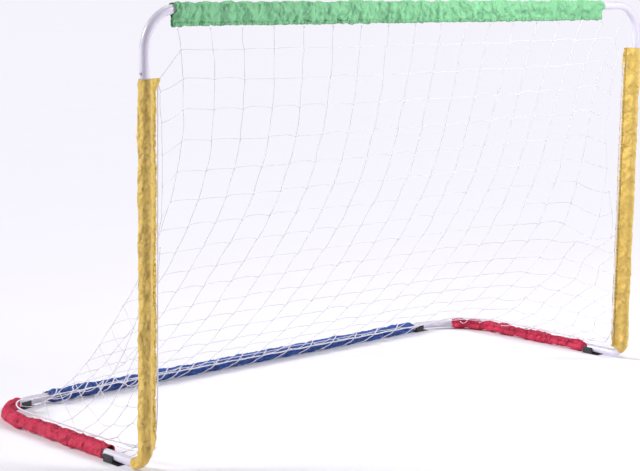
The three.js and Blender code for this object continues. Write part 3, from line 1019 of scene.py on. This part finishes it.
    @staticmethod
    def ring_fold(u, v, seed):
        """Bunched cloth: soft rings round the tube, some deep"""
        spot = Vector((u * 9, v * 24, 0)) + seed
        return noise.noise(spot) + 0.3 * noise.noise(spot * 2.1)

    def place_at(self, wanted):
        """Places and outward directions on the cloth, for flat places"""
        if not hasattr(self, "tree"):
            mesh = self.made.data
            flat = self.flat_places()
            self.tree = KDTree(len(flat))
            for i, (u, v) in enumerate(flat):
                self.tree.insert((u, v, 0), i)
            self.tree.balance()
        mesh = self.made.data
        found = []
        for u, v in wanted:
            _, index, _ = self.tree.find((u, v, 0))
            vert = mesh.vertices[index]
            found.append((vert.co.copy(), vert.normal.copy()))
        return found


def collider(bm, name):
    made = mesh_object(name, bm)
    made.modifiers.new("collision", "COLLISION")
    made.collision.thickness_outer = 0.001
    made.collision.cloth_friction = 15
    return made


def sleeve_plan():
    """What each sleeve is drawn round, its shape, how much it is gathered and how it creases"""
    quarter = math.pi / 2
    above_floor = 0.0008
    pulled_in = 0.014  # how far the rear sleeve's left end has slid along its bar
    tubes = bpy.context.scene.goal_tubes
    sizes = bpy.context.scene.goal_cloth
    hem = dict(seam=0.011, hem=0.011, pucker=0.009, pucker_depth=0.0016, seam_depth=0.0012, lean=0.8)
    low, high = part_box("sleeve_crossbar")
    plans = [dict(
        node="sleeve_crossbar", slot="green_cloth", rests_on="crossbar_left", gather=0.10,
        start=(low.x, FRONT_Y, CROSSBAR_Z), heading=X, normal=Z,
        moves=[("straight", high.x - low.x)], shape=(0.0128, 0.0028, 0.038, -quarter),
        looks=dict(hem, depth=0.0062, fold=0.030, seed=3.1),
    )]
    # The last value is how strongly shade is painted along each post sleeve's tube
    for hand, sign, turn, r, last, reach, flare, worn in (
        ("left", -1, 1.4, 0.0128, quarter, 0.3, 0.6, 1.0),
        ("right", 1, -0.87, 0.0134, 0.8, 0.75, -0.2, 0.3),
    ):
        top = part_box(f"sleeve_post_{hand}")[1].z
        fall = top - BASE_Z - tubes.toe_bend
        plans.append(dict(
            node=f"sleeve_post_{hand}", slot="yellow_cloth", rests_on=f"post_{hand}", gather=0.05,
            start=(sign * POST_X, FRONT_Y, top), heading=-Z, normal=X,
            moves=[("straight", fall), ("bend", tubes.toe_bend, last)], shape=(r, 0.0028, 0.036, turn),
            trim=dict(flare=flare, taper=(fall - 0.012, reach)),
            looks=dict(
                hem, depth=0.0034, fold=0.036, seed=8.3 + sign, worn=worn, lean=0.5, pucker=0.012,
                pucker_depth=0.001,
            ),
        ))
    left_ties = ((0.62, 0.007), (0.36, 0.003), (0.84, 0.004))
    right_ties = ((0.52, 0.003), (0.66, 0.005), (0.78, 0.006), (0.90, 0.006))
    for hand, sign, turn, angle, tongue, ties in (
        ("left", -1, math.pi - 0.87, sizes.side_left_turn, 0.15, left_ties),
        ("right", 1, 0.87, sizes.side_right_turn, 0.85, right_ties),
    ):
        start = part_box(f"sleeve_side_{hand}")[0].y
        plans.append(dict(
            node=f"sleeve_side_{hand}", slot="red_cloth", rests_on=f"side_bar_{hand}", gather=0.10,
            start=(sign * POST_X, start, BASE_Z), heading=Y, normal=Z,
            moves=[("straight", REAR_Y - tubes.rear_bend - start), ("bend", tubes.rear_bend, sign * angle)],
            shape=(0.0138, 0.0040, 0.0195, turn), trim=dict(cuff=0.012, tongue=(tongue, 0.022)),
            looks=dict(
                hem, depth=0.0022, fold=0.034, seed=14.7 + sign, rings=0.0048, ties=ties,
                floor=above_floor, lowest=-0.0022,
            ),
        ))
    low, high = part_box("sleeve_rear")
    plans.append(dict(
        node="sleeve_rear", slot="blue_cloth", rests_on="rear_bar_left", gather=0.08,
        start=(low.x + pulled_in, REAR_Y, BASE_Z), heading=X, normal=Z,
        moves=[("straight", high.x - low.x - pulled_in)], shape=(0.0146, 0.0028, 0.018, 2.8),
        looks=dict(hem, depth=0.0042, fold=0.030, seed=21.9, floor=above_floor),
    ))
    return plans


class GOAL_OT_sleeves(bpy.types.Operator):
    """Sews the six cloth sleeves round their tubes"""

    bl_idname = "goal.sleeves"
    bl_label = "Cloth sleeves"

    def execute(self, context):
        for plan in sleeve_plan():
            rests_on, looks = plan.pop("rests_on"), plan.pop("looks")
            sleeve = Sleeve(name=plan["node"].replace("sleeve", "cloth"), **plan)
            self.drape(sleeve)
            sleeve.finish(looks)
            stitches = self.stitch(sleeve, looks["seam"])
            SLEEVES[sleeve.node] = sleeve
        return {"FINISHED"}

    def drape(self, sleeve):
        bm = bmesh.new()
        past = 0.03  # how far the tube goes on past each end of the sleeve
        start = sleeve.start - sleeve.heading * past
        run = Run.tube(bm, start, sleeve.heading, sleeve.normal, TUBE_R, 20)
        run.straight(past)
        for kind, *values in sleeve.moves:
            if kind == "straight":
                run.straight(values[0], 6)
            else:
                run.bend(values[0], values[1], 12)
        run.straight(past)
        colliders = [collider(bm, "inner tube")]
        if sleeve.start.z < 2 * BASE_Z or sleeve.heading.z < 0:
            bm = bmesh.new()
            bmesh.ops.create_grid(bm, x_segments=1, y_segments=1, size=3)
            colliders.append(collider(bm, "ground"))
        opposite = sleeve.count // 2

        def held(k, j):
            if j <= 1 or j >= sleeve.rows - 1:
                return 1.0
            return 1.0 if (k == 0 and j % 4 == 0) or k == opposite else 0.0

        sleeve.drape(held)
        for made in colliders:
            remove(made)

    def stitch(self, sleeve, seam):
        """Runs a line of stitches along both faces of the hem"""
        sizes = bpy.context.scene.goal_cloth
        length = sleeve.length * (1 + sleeve.gather)
        count = int(length / sizes.stitch)
        lines = []
        for u in (seam - sleeve.around / 2, sleeve.around / 2 - seam):
            starts = [(u, (i + 0.15) * sizes.stitch) for i in range(count)]
            ends = [(u, (i + 0.8) * sizes.stitch) for i in range(count)]
            for (a, out_a), (b, out_b) in zip(sleeve.place_at(starts), sleeve.place_at(ends)):
                if (a - b).length > 1e-4:
                    lines.append([a, (a + b) / 2 + (out_a + out_b) * 0.0003, b])
        bm = strings(lines, 0.00035, 0)
        made = piece(f"stitches_{sleeve.node}", bm, sleeve.slot)
        paint(made, sleeve.slot.replace("cloth", "thread"))
        return made


SLEEVES = {}


# ------------------------------------------------------------------ net
def along(points, shares):
    """Points at the given shares of the length of a line"""
    points = np.array(points, float)
    steps = np.r_[0, np.cumsum(np.linalg.norm(np.diff(points, axis=0), axis=1))]
    at = np.asarray(shares) * steps[-1]
    return np.stack([np.interp(at, steps, points[:, k]) for k in range(3)], axis=-1)


# Half width, distance behind the front, and height: down the middle of the back panel, and down
# the corner between the back and a side panel
MIDDLE = [(0, -0.012, 1.009), (0, 0.010, 0.880), (0, 0.040, 0.740), (0, 0.090, 0.600), (0, 0.200, 0.440),
          (0, 0.330, 0.280), (0, 0.470, 0.150), (0, 0.600, 0.060), (0, 0.652, 0.030)]
CORNER = [(0.820, -0.012, 1.009), (0.782, 0.008, 0.955), (0.764, 0.034, 0.880), (0.758, 0.046, 0.740),
          (0.774, 0.084, 0.580), (0.806, 0.160, 0.420), (0.830, 0.275, 0.270), (0.846, 0.420, 0.140),
          (0.846, 0.520, 0.070), (0.838, 0.592, 0.030)]


SIDE_CELLS = [0] + [1] * 6 + [2, 2, 3, 3, 4, 4, 5, 6, 6, 7, 7]  # in each row of a side panel
FIRM_ROW = 10  # from here down, the knots of the right side panel are held
SETTLE_STEPS, PASSES = 160, 20
KEPT_SPEED, FALL = 0.95, 0.00098  # share of the speed kept, and drop, in each step


class Net:
    """The knots of the net, and the strings between them"""

    def __init__(self, size):
        self.size, self.columns, self.rows = size, size.columns, size.rows
        self.index = {}
        self.places, self.held, self.goals = [], [], []
        self.side = SIDE_CELLS
        self.lay_out()
        self.relax()

    def knot(self, key, place, held=False, goal=0.0):
        self.index[key] = len(self.places)
        self.places.append(place)
        self.held.append(held)
        self.goals.append(goal)

    def lay_out(self):
        shares = np.r_[0, (self.size.first_cell + self.size.cell_high * np.arange(self.rows))]
        shares /= shares[-1]
        corner, centre = along(CORNER, shares), along(MIDDLE, shares)
        for row in range(self.rows + 1):
            ends = row in (0, self.rows)
            for column in range(self.columns + 1):
                across = 2 * column / self.columns - 1
                weight = abs(across) ** 4
                place = centre[row] * (1 - weight) + corner[row] * weight
                place[0] = corner[row][0] * across
                self.knot((row, column), place, ends, 0.06)
            for sign, edge in ((-1, 0), (1, self.columns)):
                self.side_row(row, corner[row], sign, edge)

    def side_row(self, row, corner, sign, edge):
        count = self.side[row]
        top = {-1: 0.894, 1: 0.926}[sign]
        for j in range(1, count + 1):
            share = j / count
            if row == self.rows:
                out, height = (0.872, 0.026) if sign < 0 else (0.898, 0.036)
                place = (min(out, 0.835 + 0.13 * share), 0.60 - 0.53 * share, height)
                self.knot((row, edge, j), np.array((sign * place[0], *place[1:])), True)
                continue
            height = top if row == 1 else max(corner[2] - 0.035, 0.05)
            bow = max(0.0, math.sin(math.pi * row / 9))
            edge_place = np.array((0.862 - 0.036 * bow, 0.012 + 0.022 * bow, height))
            place = corner * (1 - share) + edge_place * share
            place[0] *= sign
            firm = sign > 0 and row >= FIRM_ROW
            if firm:
                place[0] += 0.064 * share * (1 - share)
                place[2] = max(place[2], 0.056)
            self.knot((row, edge, j), place, j == count or firm)

    def lines(self):
        """Lists of knots, for the strings across and for the strings down"""
        across = []
        for row in range(1, self.rows):
            left = [(row, 0, j) for j in range(self.side[row], 0, -1)]
            back = [(row, column) for column in range(self.columns + 1)]
            right = [(row, self.columns, j) for j in range(1, self.side[row] + 1)]
            across.append(left + back + right)
        down = [[(row, column) for row in range(self.rows + 1)] for column in range(self.columns + 1)]
        for edge in (0, self.columns):
            for j in range(1, max(self.side) + 1):
                knots = [(row, edge, j) for row in range(self.rows + 1) if self.side[row] >= j]
                down.append(knots)
        return across, down

    def relax(self):
        across, down = self.lines()
        groups = [[], [], [], []]
        for kind, lines in ((0, across), (2, down)):
            for knots in lines:
                for k, (a, b) in enumerate(zip(knots, knots[1:])):
                    if kind == 0:
                        rest = self.size.cell_wide
                    elif a[0] == 0:
                        rest = self.size.first_cell
                    else:
                        rest = self.size.cell_high
                    groups[kind + k % 2].append((self.index[a], self.index[b], rest))
        groups = [tuple(np.array(column) for column in zip(*group)) for group in groups]
        place = np.array(self.places)
        start = place.copy()
        free = np.where(self.held, 0.0, 1.0)[:, None]
        pull = np.array(self.goals)[:, None]
        before = place.copy()
        for _ in range(SETTLE_STEPS):
            speed = (place - before) * KEPT_SPEED
            before = place.copy()
            place += speed * free
            place[:, 2:] -= FALL * free
            place += (start - place) * pull * free
            for _ in range(PASSES):
                for a, b, rest in groups:
                    gap = place[b] - place[a]
                    size = np.maximum(np.linalg.norm(gap, axis=1), 1e-9)
                    share = np.maximum(size - rest, 0) / size
                    weight = np.maximum(free[a] + free[b], 1e-9)
                    move = gap * share[:, None] / weight
                    place[a] += move * free[a]
                    place[b] -= move * free[b]
            place[:, 2] = np.maximum(place[:, 2], 0.004)
        self.places = place

    def at(self, knot):
        x, back, height = self.places[self.index[knot]]
        return Vector((x, FRONT_Y + back, height))


def sideways(gap, drift):
    return drift - gap.normalized() * drift.dot(gap.normalized())


def sagging(a, b, rest, steps, drift, most=0.10):
    """Points of a slack string from a to b, hanging down between them"""
    gap = b - a
    spare = max(rest - gap.length, 0.0)
    sag = min(math.sqrt(0.375 * gap.length * spare), most * gap.length)
    down = -Z + gap.normalized() * gap.normalized().z
    side = sideways(gap, drift)
    return [
        a + gap * t + (down * sag + side) * (4 * t * (1 - t))
        for t in (k / steps for k in range(steps))
    ]


def arching(a, b, rise, steps, drift):
    """Points of a stiff string that stands above the knots it runs between, more at its start"""
    gap = b - a
    side = sideways(gap, drift)
    return [
        a + gap * t + Z * rise * (1 - (2 * t**0.75 - 1) ** 4) + side * (4 * t * (1 - t))
        for t in (k / steps for k in range(steps))
    ]


def new_curve(name):
    curve = bpy.data.curves.new(name, "CURVE")
    curve.dimensions = "3D"
    curve.use_fill_caps = True
    return curve


def add_line(curve, points):
    spline = curve.splines.new("POLY")
    spline.points.add(len(points) - 1)
    for point, spot in zip(spline.points, points):
        point.co = (*spot, 1)
    return spline


def curve_mesh(curve):
    """Turns a curve into a bmesh"""
    drawn = add_object(curve.name, curve)
    mesh = evaluated_mesh(drawn)
    bm = bmesh.new()
    bm.from_mesh(mesh)
    bpy.data.objects.remove(drawn)
    bpy.data.curves.remove(curve)
    bpy.data.meshes.remove(mesh)
    return bm


def strings(lines, radius, sides=1):
    """Round strings along lists of points"""
    curve = new_curve("strings")
    curve.bevel_depth = radius
    curve.bevel_resolution = sides
    for points in lines:
        add_line(curve, points)
    return curve_mesh(curve)


class GOAL_OT_net(bpy.types.Operator):
    """Hangs the knotted net from the crossbar sleeve to the floor bars"""

    bl_idname = "goal.net"
    bl_label = "Net"

    def execute(self, context):
        size = context.scene.goal_net
        net = Net(size)
        draw = random.Random(11)
        panels = {"back": [], "left": [], "right": []}
        across, down = net.lines()
        for lines, rest in ((across, size.cell_wide), (down, size.cell_high)):
            for knots in lines:
                for panel, part in self.split(knots, net.columns):
                    points = []
                    for a, b in zip(part, part[1:]):
                        longest = size.first_cell if a[0] == 0 and rest == size.cell_high else rest
                        drift = Vector([draw.uniform(-0.0025, 0.0025) for _ in range(3)])
                        rise = draw.uniform(0.6, 1.3) * min(0.005, 0.0016 * a[0])
                        if lines is across and panel == "back" and net.at(a).z > 0.08:
                            points += arching(net.at(a), net.at(b), rise, 8, drift)
                        else:
                            most = 0.03 if min(net.at(a).z, net.at(b).z) > 0.3 else 0.10
                            points += sagging(net.at(a), net.at(b), longest, 6, drift, most)
                    points.append(net.at(part[-1]))
                    for place in points:
                        place.z = max(place.z, size.twine_r)
                    panels[panel].append(points)
        for panel, lines in panels.items():
            bm = strings(lines, size.twine_r)
            spots = [net.at(k) for k in net.index if self.panel_of(k, net.columns) == panel]
            self.tie(bm, spots, size.knot_r, draw)
            piece(f"twine_{panel}", bm, "white_twine", replaced=[f"net_{panel}"], sharp=180)
        return {"FINISHED"}

    @staticmethod
    def tie(bm, spots, radius, draw):
        """Adds a small lumpy knot at each spot"""
        bead = bmesh.new()
        bmesh.ops.create_uvsphere(bead, u_segments=6, v_segments=5, radius=radius)
        mesh = bpy.data.meshes.new("knot")
        bead.to_mesh(mesh)
        bead.free()
        for spot in spots:
            turn = Matrix.Rotation(draw.uniform(0, 3), 4, Vector((draw.random(), draw.random(), 1)))
            at = Matrix.Translation(spot) @ turn @ Matrix.Diagonal((1.15, 0.85, 1, 1))
            knot = mesh.copy()
            knot.transform(at)
            bm.from_mesh(knot)
            bpy.data.meshes.remove(knot)
        bpy.data.meshes.remove(mesh)

    @staticmethod
    def panel_of(knot, columns):
        if len(knot) == 2:
            return "back"
        return "left" if knot[1] == 0 else "right"

    def split(self, knots, columns):
        """Cuts a line of knots where it turns a corner between two panels"""
        parts, part, panel = [], [knots[0]], self.panel_of(knots[0], columns)
        for knot in knots[1:]:
            part.append(knot)
            here = self.panel_of(knot, columns)
            if here == panel or (panel != "back" and here == "back" and len(part) > 1):
                if here != panel:
                    parts.append((panel, part))
                    part, panel = [knot], here
                continue
            parts.append((panel, part[:-1]))
            part, panel = [part[-2], knot], here
        parts.append((panel, part))
        return [(p, k) for p, k in parts if len(k) > 1]


# ------------------------------------------------------------------ cords and lacing
def smooth_line(points, step):
    """A smooth line through points, cut into even steps"""
    points = [Vector(p) for p in points]
    ends = [points[0] * 2 - points[1], *points, points[-1] * 2 - points[-2]]
    fine = []
    for before, a, b, after in zip(ends, ends[1:], ends[2:], ends[3:]):
        for t in (k / 20 for k in range(20)):
            fine.append(
                0.5 * (2 * a + (b - before) * t + (2 * before - 5 * a + 4 * b - after) * t * t
                       + (3 * a - before - 3 * b + after) * t**3)
            )
    fine.append(points[-1])
    size = sum((b - a).length for a, b in zip(fine, fine[1:]))
    return [Vector(p) for p in along(fine, np.linspace(0, 1, max(2, round(size / step) + 1)))]


def rope(lines, radius, pitch):
    """Three-strand rope along each line: a lobed section that turns as it goes"""
    section = bpy.data.curves.new("section", "CURVE")
    corners, hollow = 9, 0.72
    lobes = []
    for k in range(corners):
        turn = 2 * math.pi * k / corners
        r = radius * (1.0 if k % 3 else hollow)
        lobes.append((r * math.cos(turn), r * math.sin(turn), 0))
    add_line(section, lobes).use_cyclic_u = True
    outline = add_object("section", section)
    curve = new_curve("rope")
    curve.twist_mode = "MINIMUM"
    curve.bevel_mode = "OBJECT"
    curve.bevel_object = outline
    for points in lines:
        spline = add_line(curve, points)
        travel = 0.0
        for k, point in enumerate(spline.points):
            travel += (points[k] - points[k - 1]).length if k else 0.0
            point.tilt = 2 * math.pi * travel / pitch
    bm = curve_mesh(curve)
    bmesh.ops.recalc_face_normals(bm, faces=bm.faces[:])
    bpy.data.objects.remove(outline)
    return bm


# Half width, distance behind the front, and height: down a post, and back along its side bar
SIDE_CORD = [
    (0.860, 0.006, 0.890), (0.861, 0.008, 0.875), (0.860, 0.009, 0.850),
    (0.860, 0.009, 0.600), (0.860, 0.009, 0.350), (0.860, 0.010, 0.130), (0.862, 0.022, 0.074),
    (0.868, 0.062, 0.046), (0.880, 0.140, 0.041), (0.883, 0.220, 0.040), (0.883, 0.300, 0.040),
    (0.883, 0.440, 0.040), (0.883, 0.513, 0.040), (0.873, 0.562, 0.040), (0.847, 0.602, 0.040),
    (0.810, 0.630, 0.036), (0.772, 0.652, 0.026),
]


class GOAL_OT_cords(bpy.types.Operator):
    """Runs the border cords of the net, and laces it to the rear sleeve"""

    bl_idname = "goal.cords"
    bl_label = "Cords and lacing"

    def execute(self, context):
        size = context.scene.goal_net
        step = 0.002

        def lay(hand, points):
            bm = rope([smooth_line(points, step)], size.cord_r, size.cord_pitch)
            piece(f"border_{hand}", bm, "white_cord", replaced=[f"cord_{hand}"], sharp=180)

        for hand, sign in SIDES:
            out = 0.020 if sign > 0 else 0.0  # the right cord lies further out along its side bar
            lay(hand, [
                (sign * (x + (out if z < 0.05 and back < 0.55 else 0)), FRONT_Y + back, z)
                for x, back, z in SIDE_CORD
            ])
        low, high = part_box("cord_rear")
        y, z = (low.y + high.y) / 2, (low.z + high.z) / 2
        count = round((high.x - low.x) / 0.03)
        lay("rear", [
            (low.x + (high.x - low.x) * k / count, y + 0.001 * math.sin(k * 1.7),
             z + 0.0008 * math.sin(k * 2.3))
            for k in range(count + 1)
        ])
        bm = strings(self.rear_lacing(size), size.lace_r, 2)
        piece("lacing_rear", bm, "white_twine", sharp=180)
        return {"FINISHED"}

    def rear_lacing(self, size):
        """Strings wound round the rear bar and its sleeve, once for each cell"""
        steps = 36  # in each turn
        graph = bpy.context.evaluated_depsgraph_get()
        cloth_shape = BVHTree.FromObject(SLEEVES["sleeve_rear"].made, graph)
        low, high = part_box("cord_rear")
        pitch = (high.x - low.x) / (size.columns - 1)
        lines = []
        for turns, phase, loose in ((size.columns - 1, 0.2, 0.9), (5, 0.65, 1.3)):
            points = []
            for k in range(turns * steps + 1):
                t = k / steps
                angle = -2 * math.pi * (t + phase + 0.12 * noise.noise(Vector((t * 0.8, loose, 0))))
                x = low.x + 0.02 + (pitch - 0.002) * (t + 0.26 * math.sin(math.pi - angle))
                slack = loose * max(0.0, 1 - t / 6) * max(0.0, -math.cos(angle))
                points.append(self.outside(cloth_shape, x, angle, size.lace_r, slack))
            lines.append(points)
        return lines

    @staticmethod
    def outside(cloth_shape, x, angle, gap, slack):
        """The point just outside the sleeve and tube, looking from the bar's centre line at an angle"""
        centre = Vector((x, REAR_Y, BASE_Z))
        way = Vector((0, math.cos(angle), math.sin(angle)))
        reach = 0.05
        hit, _, _, distance = cloth_shape.ray_cast(centre + way * reach, -way, reach - TUBE_R)
        out = reach - distance if hit else TUBE_R
        spot = centre + way * (out * (1 + slack) + gap + 0.0008)
        spot.z = max(spot.z, gap)
        return spot


# ------------------------------------------------------------------ stage
class GOAL_OT_stage(bpy.types.Operator):
    """Sets up the floor, the studio light and the camera"""

    bl_idname = "goal.stage"
    bl_label = "Stage"

    def execute(self, context):
        stage = context.scene.goal_stage
        self.floor(tuple(stage.floor))
        self.camera(stage)
        self.lights(context.scene)
        context.scene.view_settings.view_transform = "Standard"
        return {"FINISHED"}

    def floor(self, tint):
        bm = bmesh.new()
        bmesh.ops.create_grid(bm, x_segments=1, y_segments=1, size=60)
        floor = mesh_object("floor", bm)
        made = Finish("floor", tint, 0.9)
        uneven = made.noise(made.object_coordinates(), 3, 3)
        made.link(made.ramp(uneven, shade(tint, 0.995), shade(tint, 1.005)), "Base Color")
        made.set("Specular IOR Level", 0.1)
        floor.data.materials.append(made.material)

    def camera(self, stage):
        lens = bpy.data.cameras.new("camera")
        lens.sensor_width = 36
        lens.lens = stage.lens
        lens.clip_end = 200
        camera = add_object("camera", lens)
        a, e, r = stage.azimuth, stage.elevation, stage.roll
        back = Vector((math.sin(a) * math.cos(e), -math.cos(a) * math.cos(e), math.sin(e)))
        right = (-back).cross(Z).normalized()
        up = right.cross(-back)
        turned = right * math.cos(r) + up * math.sin(r)
        camera.matrix_world = basis(turned, back, stage.camera)
        bpy.context.scene.camera = camera

    def lights(self, scene):
        """Soft lights from both sides and behind, a fill on the right post, and a glow all round"""
        stage = scene.goal_stage
        across = Vector((math.cos(stage.azimuth), math.sin(stage.azimuth), 0))
        behind = Vector((-math.sin(stage.azimuth), math.cos(stage.azimuth), 0))
        places = {
            "left": (-across, stage.side_height, stage.left_light),
            "right": (across, stage.side_height, stage.right_light),
            "back": (behind + across * 0.2, 2.0, stage.back_light),
        }
        for name, (way, rise, power) in places.items():
            light = bpy.data.lights.new(name, "SUN")
            light.energy = power
            light.angle = stage.softness
            made = add_object(name, light)
            made.rotation_mode = "QUATERNION"
            made.rotation_quaternion = (way.normalized() + Z * rise).to_track_quat("Z", "Y")
        fill = bpy.data.lights.new("fill", "AREA")
        fill.shape = "DISK"
        fill.size = 0.9
        fill.energy = stage.fill
        made = add_object("fill", fill)
        made.visible_camera = False
        place = Vector(stage.fill_place)
        turn = (place - Vector((POST_X, FRONT_Y, CROSSBAR_Z / 2))).to_track_quat("Z", "Y")
        made.matrix_world = Matrix.Translation(place) @ turn.to_matrix().to_4x4()
        world = bpy.data.worlds.new("studio")
        world.use_nodes = True
        glow = world.node_tree.nodes["Background"]
        glow.inputs[0].default_value = (0.965, 0.955, 1, 1)
        glow.inputs[1].default_value = stage.glow
        scene.world = world


# ------------------------------------------------------------------ panel and registration
GROUPS = {
    "goal_tubes": GoalTubes,
    "goal_cloth": GoalCloth,
    "goal_net": GoalNet,
    "goal_stage": GoalStage,
}
OPERATORS = [
    GOAL_OT_tubes,
    GOAL_OT_buttons,
    GOAL_OT_feet,
    GOAL_OT_sleeves,
    GOAL_OT_net,
    GOAL_OT_cords,
    GOAL_OT_stage,
]


class GOAL_PT_parts(bpy.types.Panel):
    """Lists the goal's parts and their settings"""

    bl_label = "Goal"
    bl_idname = "GOAL_PT_parts"
    bl_space_type = "VIEW_3D"
    bl_region_type = "UI"
    bl_category = "Goal"

    def draw(self, context):
        for name, group in GROUPS.items():
            box = self.layout.box()
            box.label(text=group.__doc__)
            for key in group.__annotations__:
                box.prop(getattr(context.scene, name), key)
        for operator in OPERATORS:
            self.layout.operator(operator.bl_idname)


def register():
    for cls in (*GROUPS.values(), *OPERATORS, GOAL_PT_parts):
        bpy.utils.register_class(cls)
    for name, group in GROUPS.items():
        setattr(bpy.types.Scene, name, PointerProperty(type=group))


def unregister():
    for name in GROUPS:
        delattr(bpy.types.Scene, name)
    for cls in reversed((*GROUPS.values(), *OPERATORS, GOAL_PT_parts)):
        bpy.utils.unregister_class(cls)


def main():
    register()
    for operator in OPERATORS:
        group, name = operator.bl_idname.split(".")
        getattr(getattr(bpy.ops, group), name)()


if __name__ == "__main__":
    main()
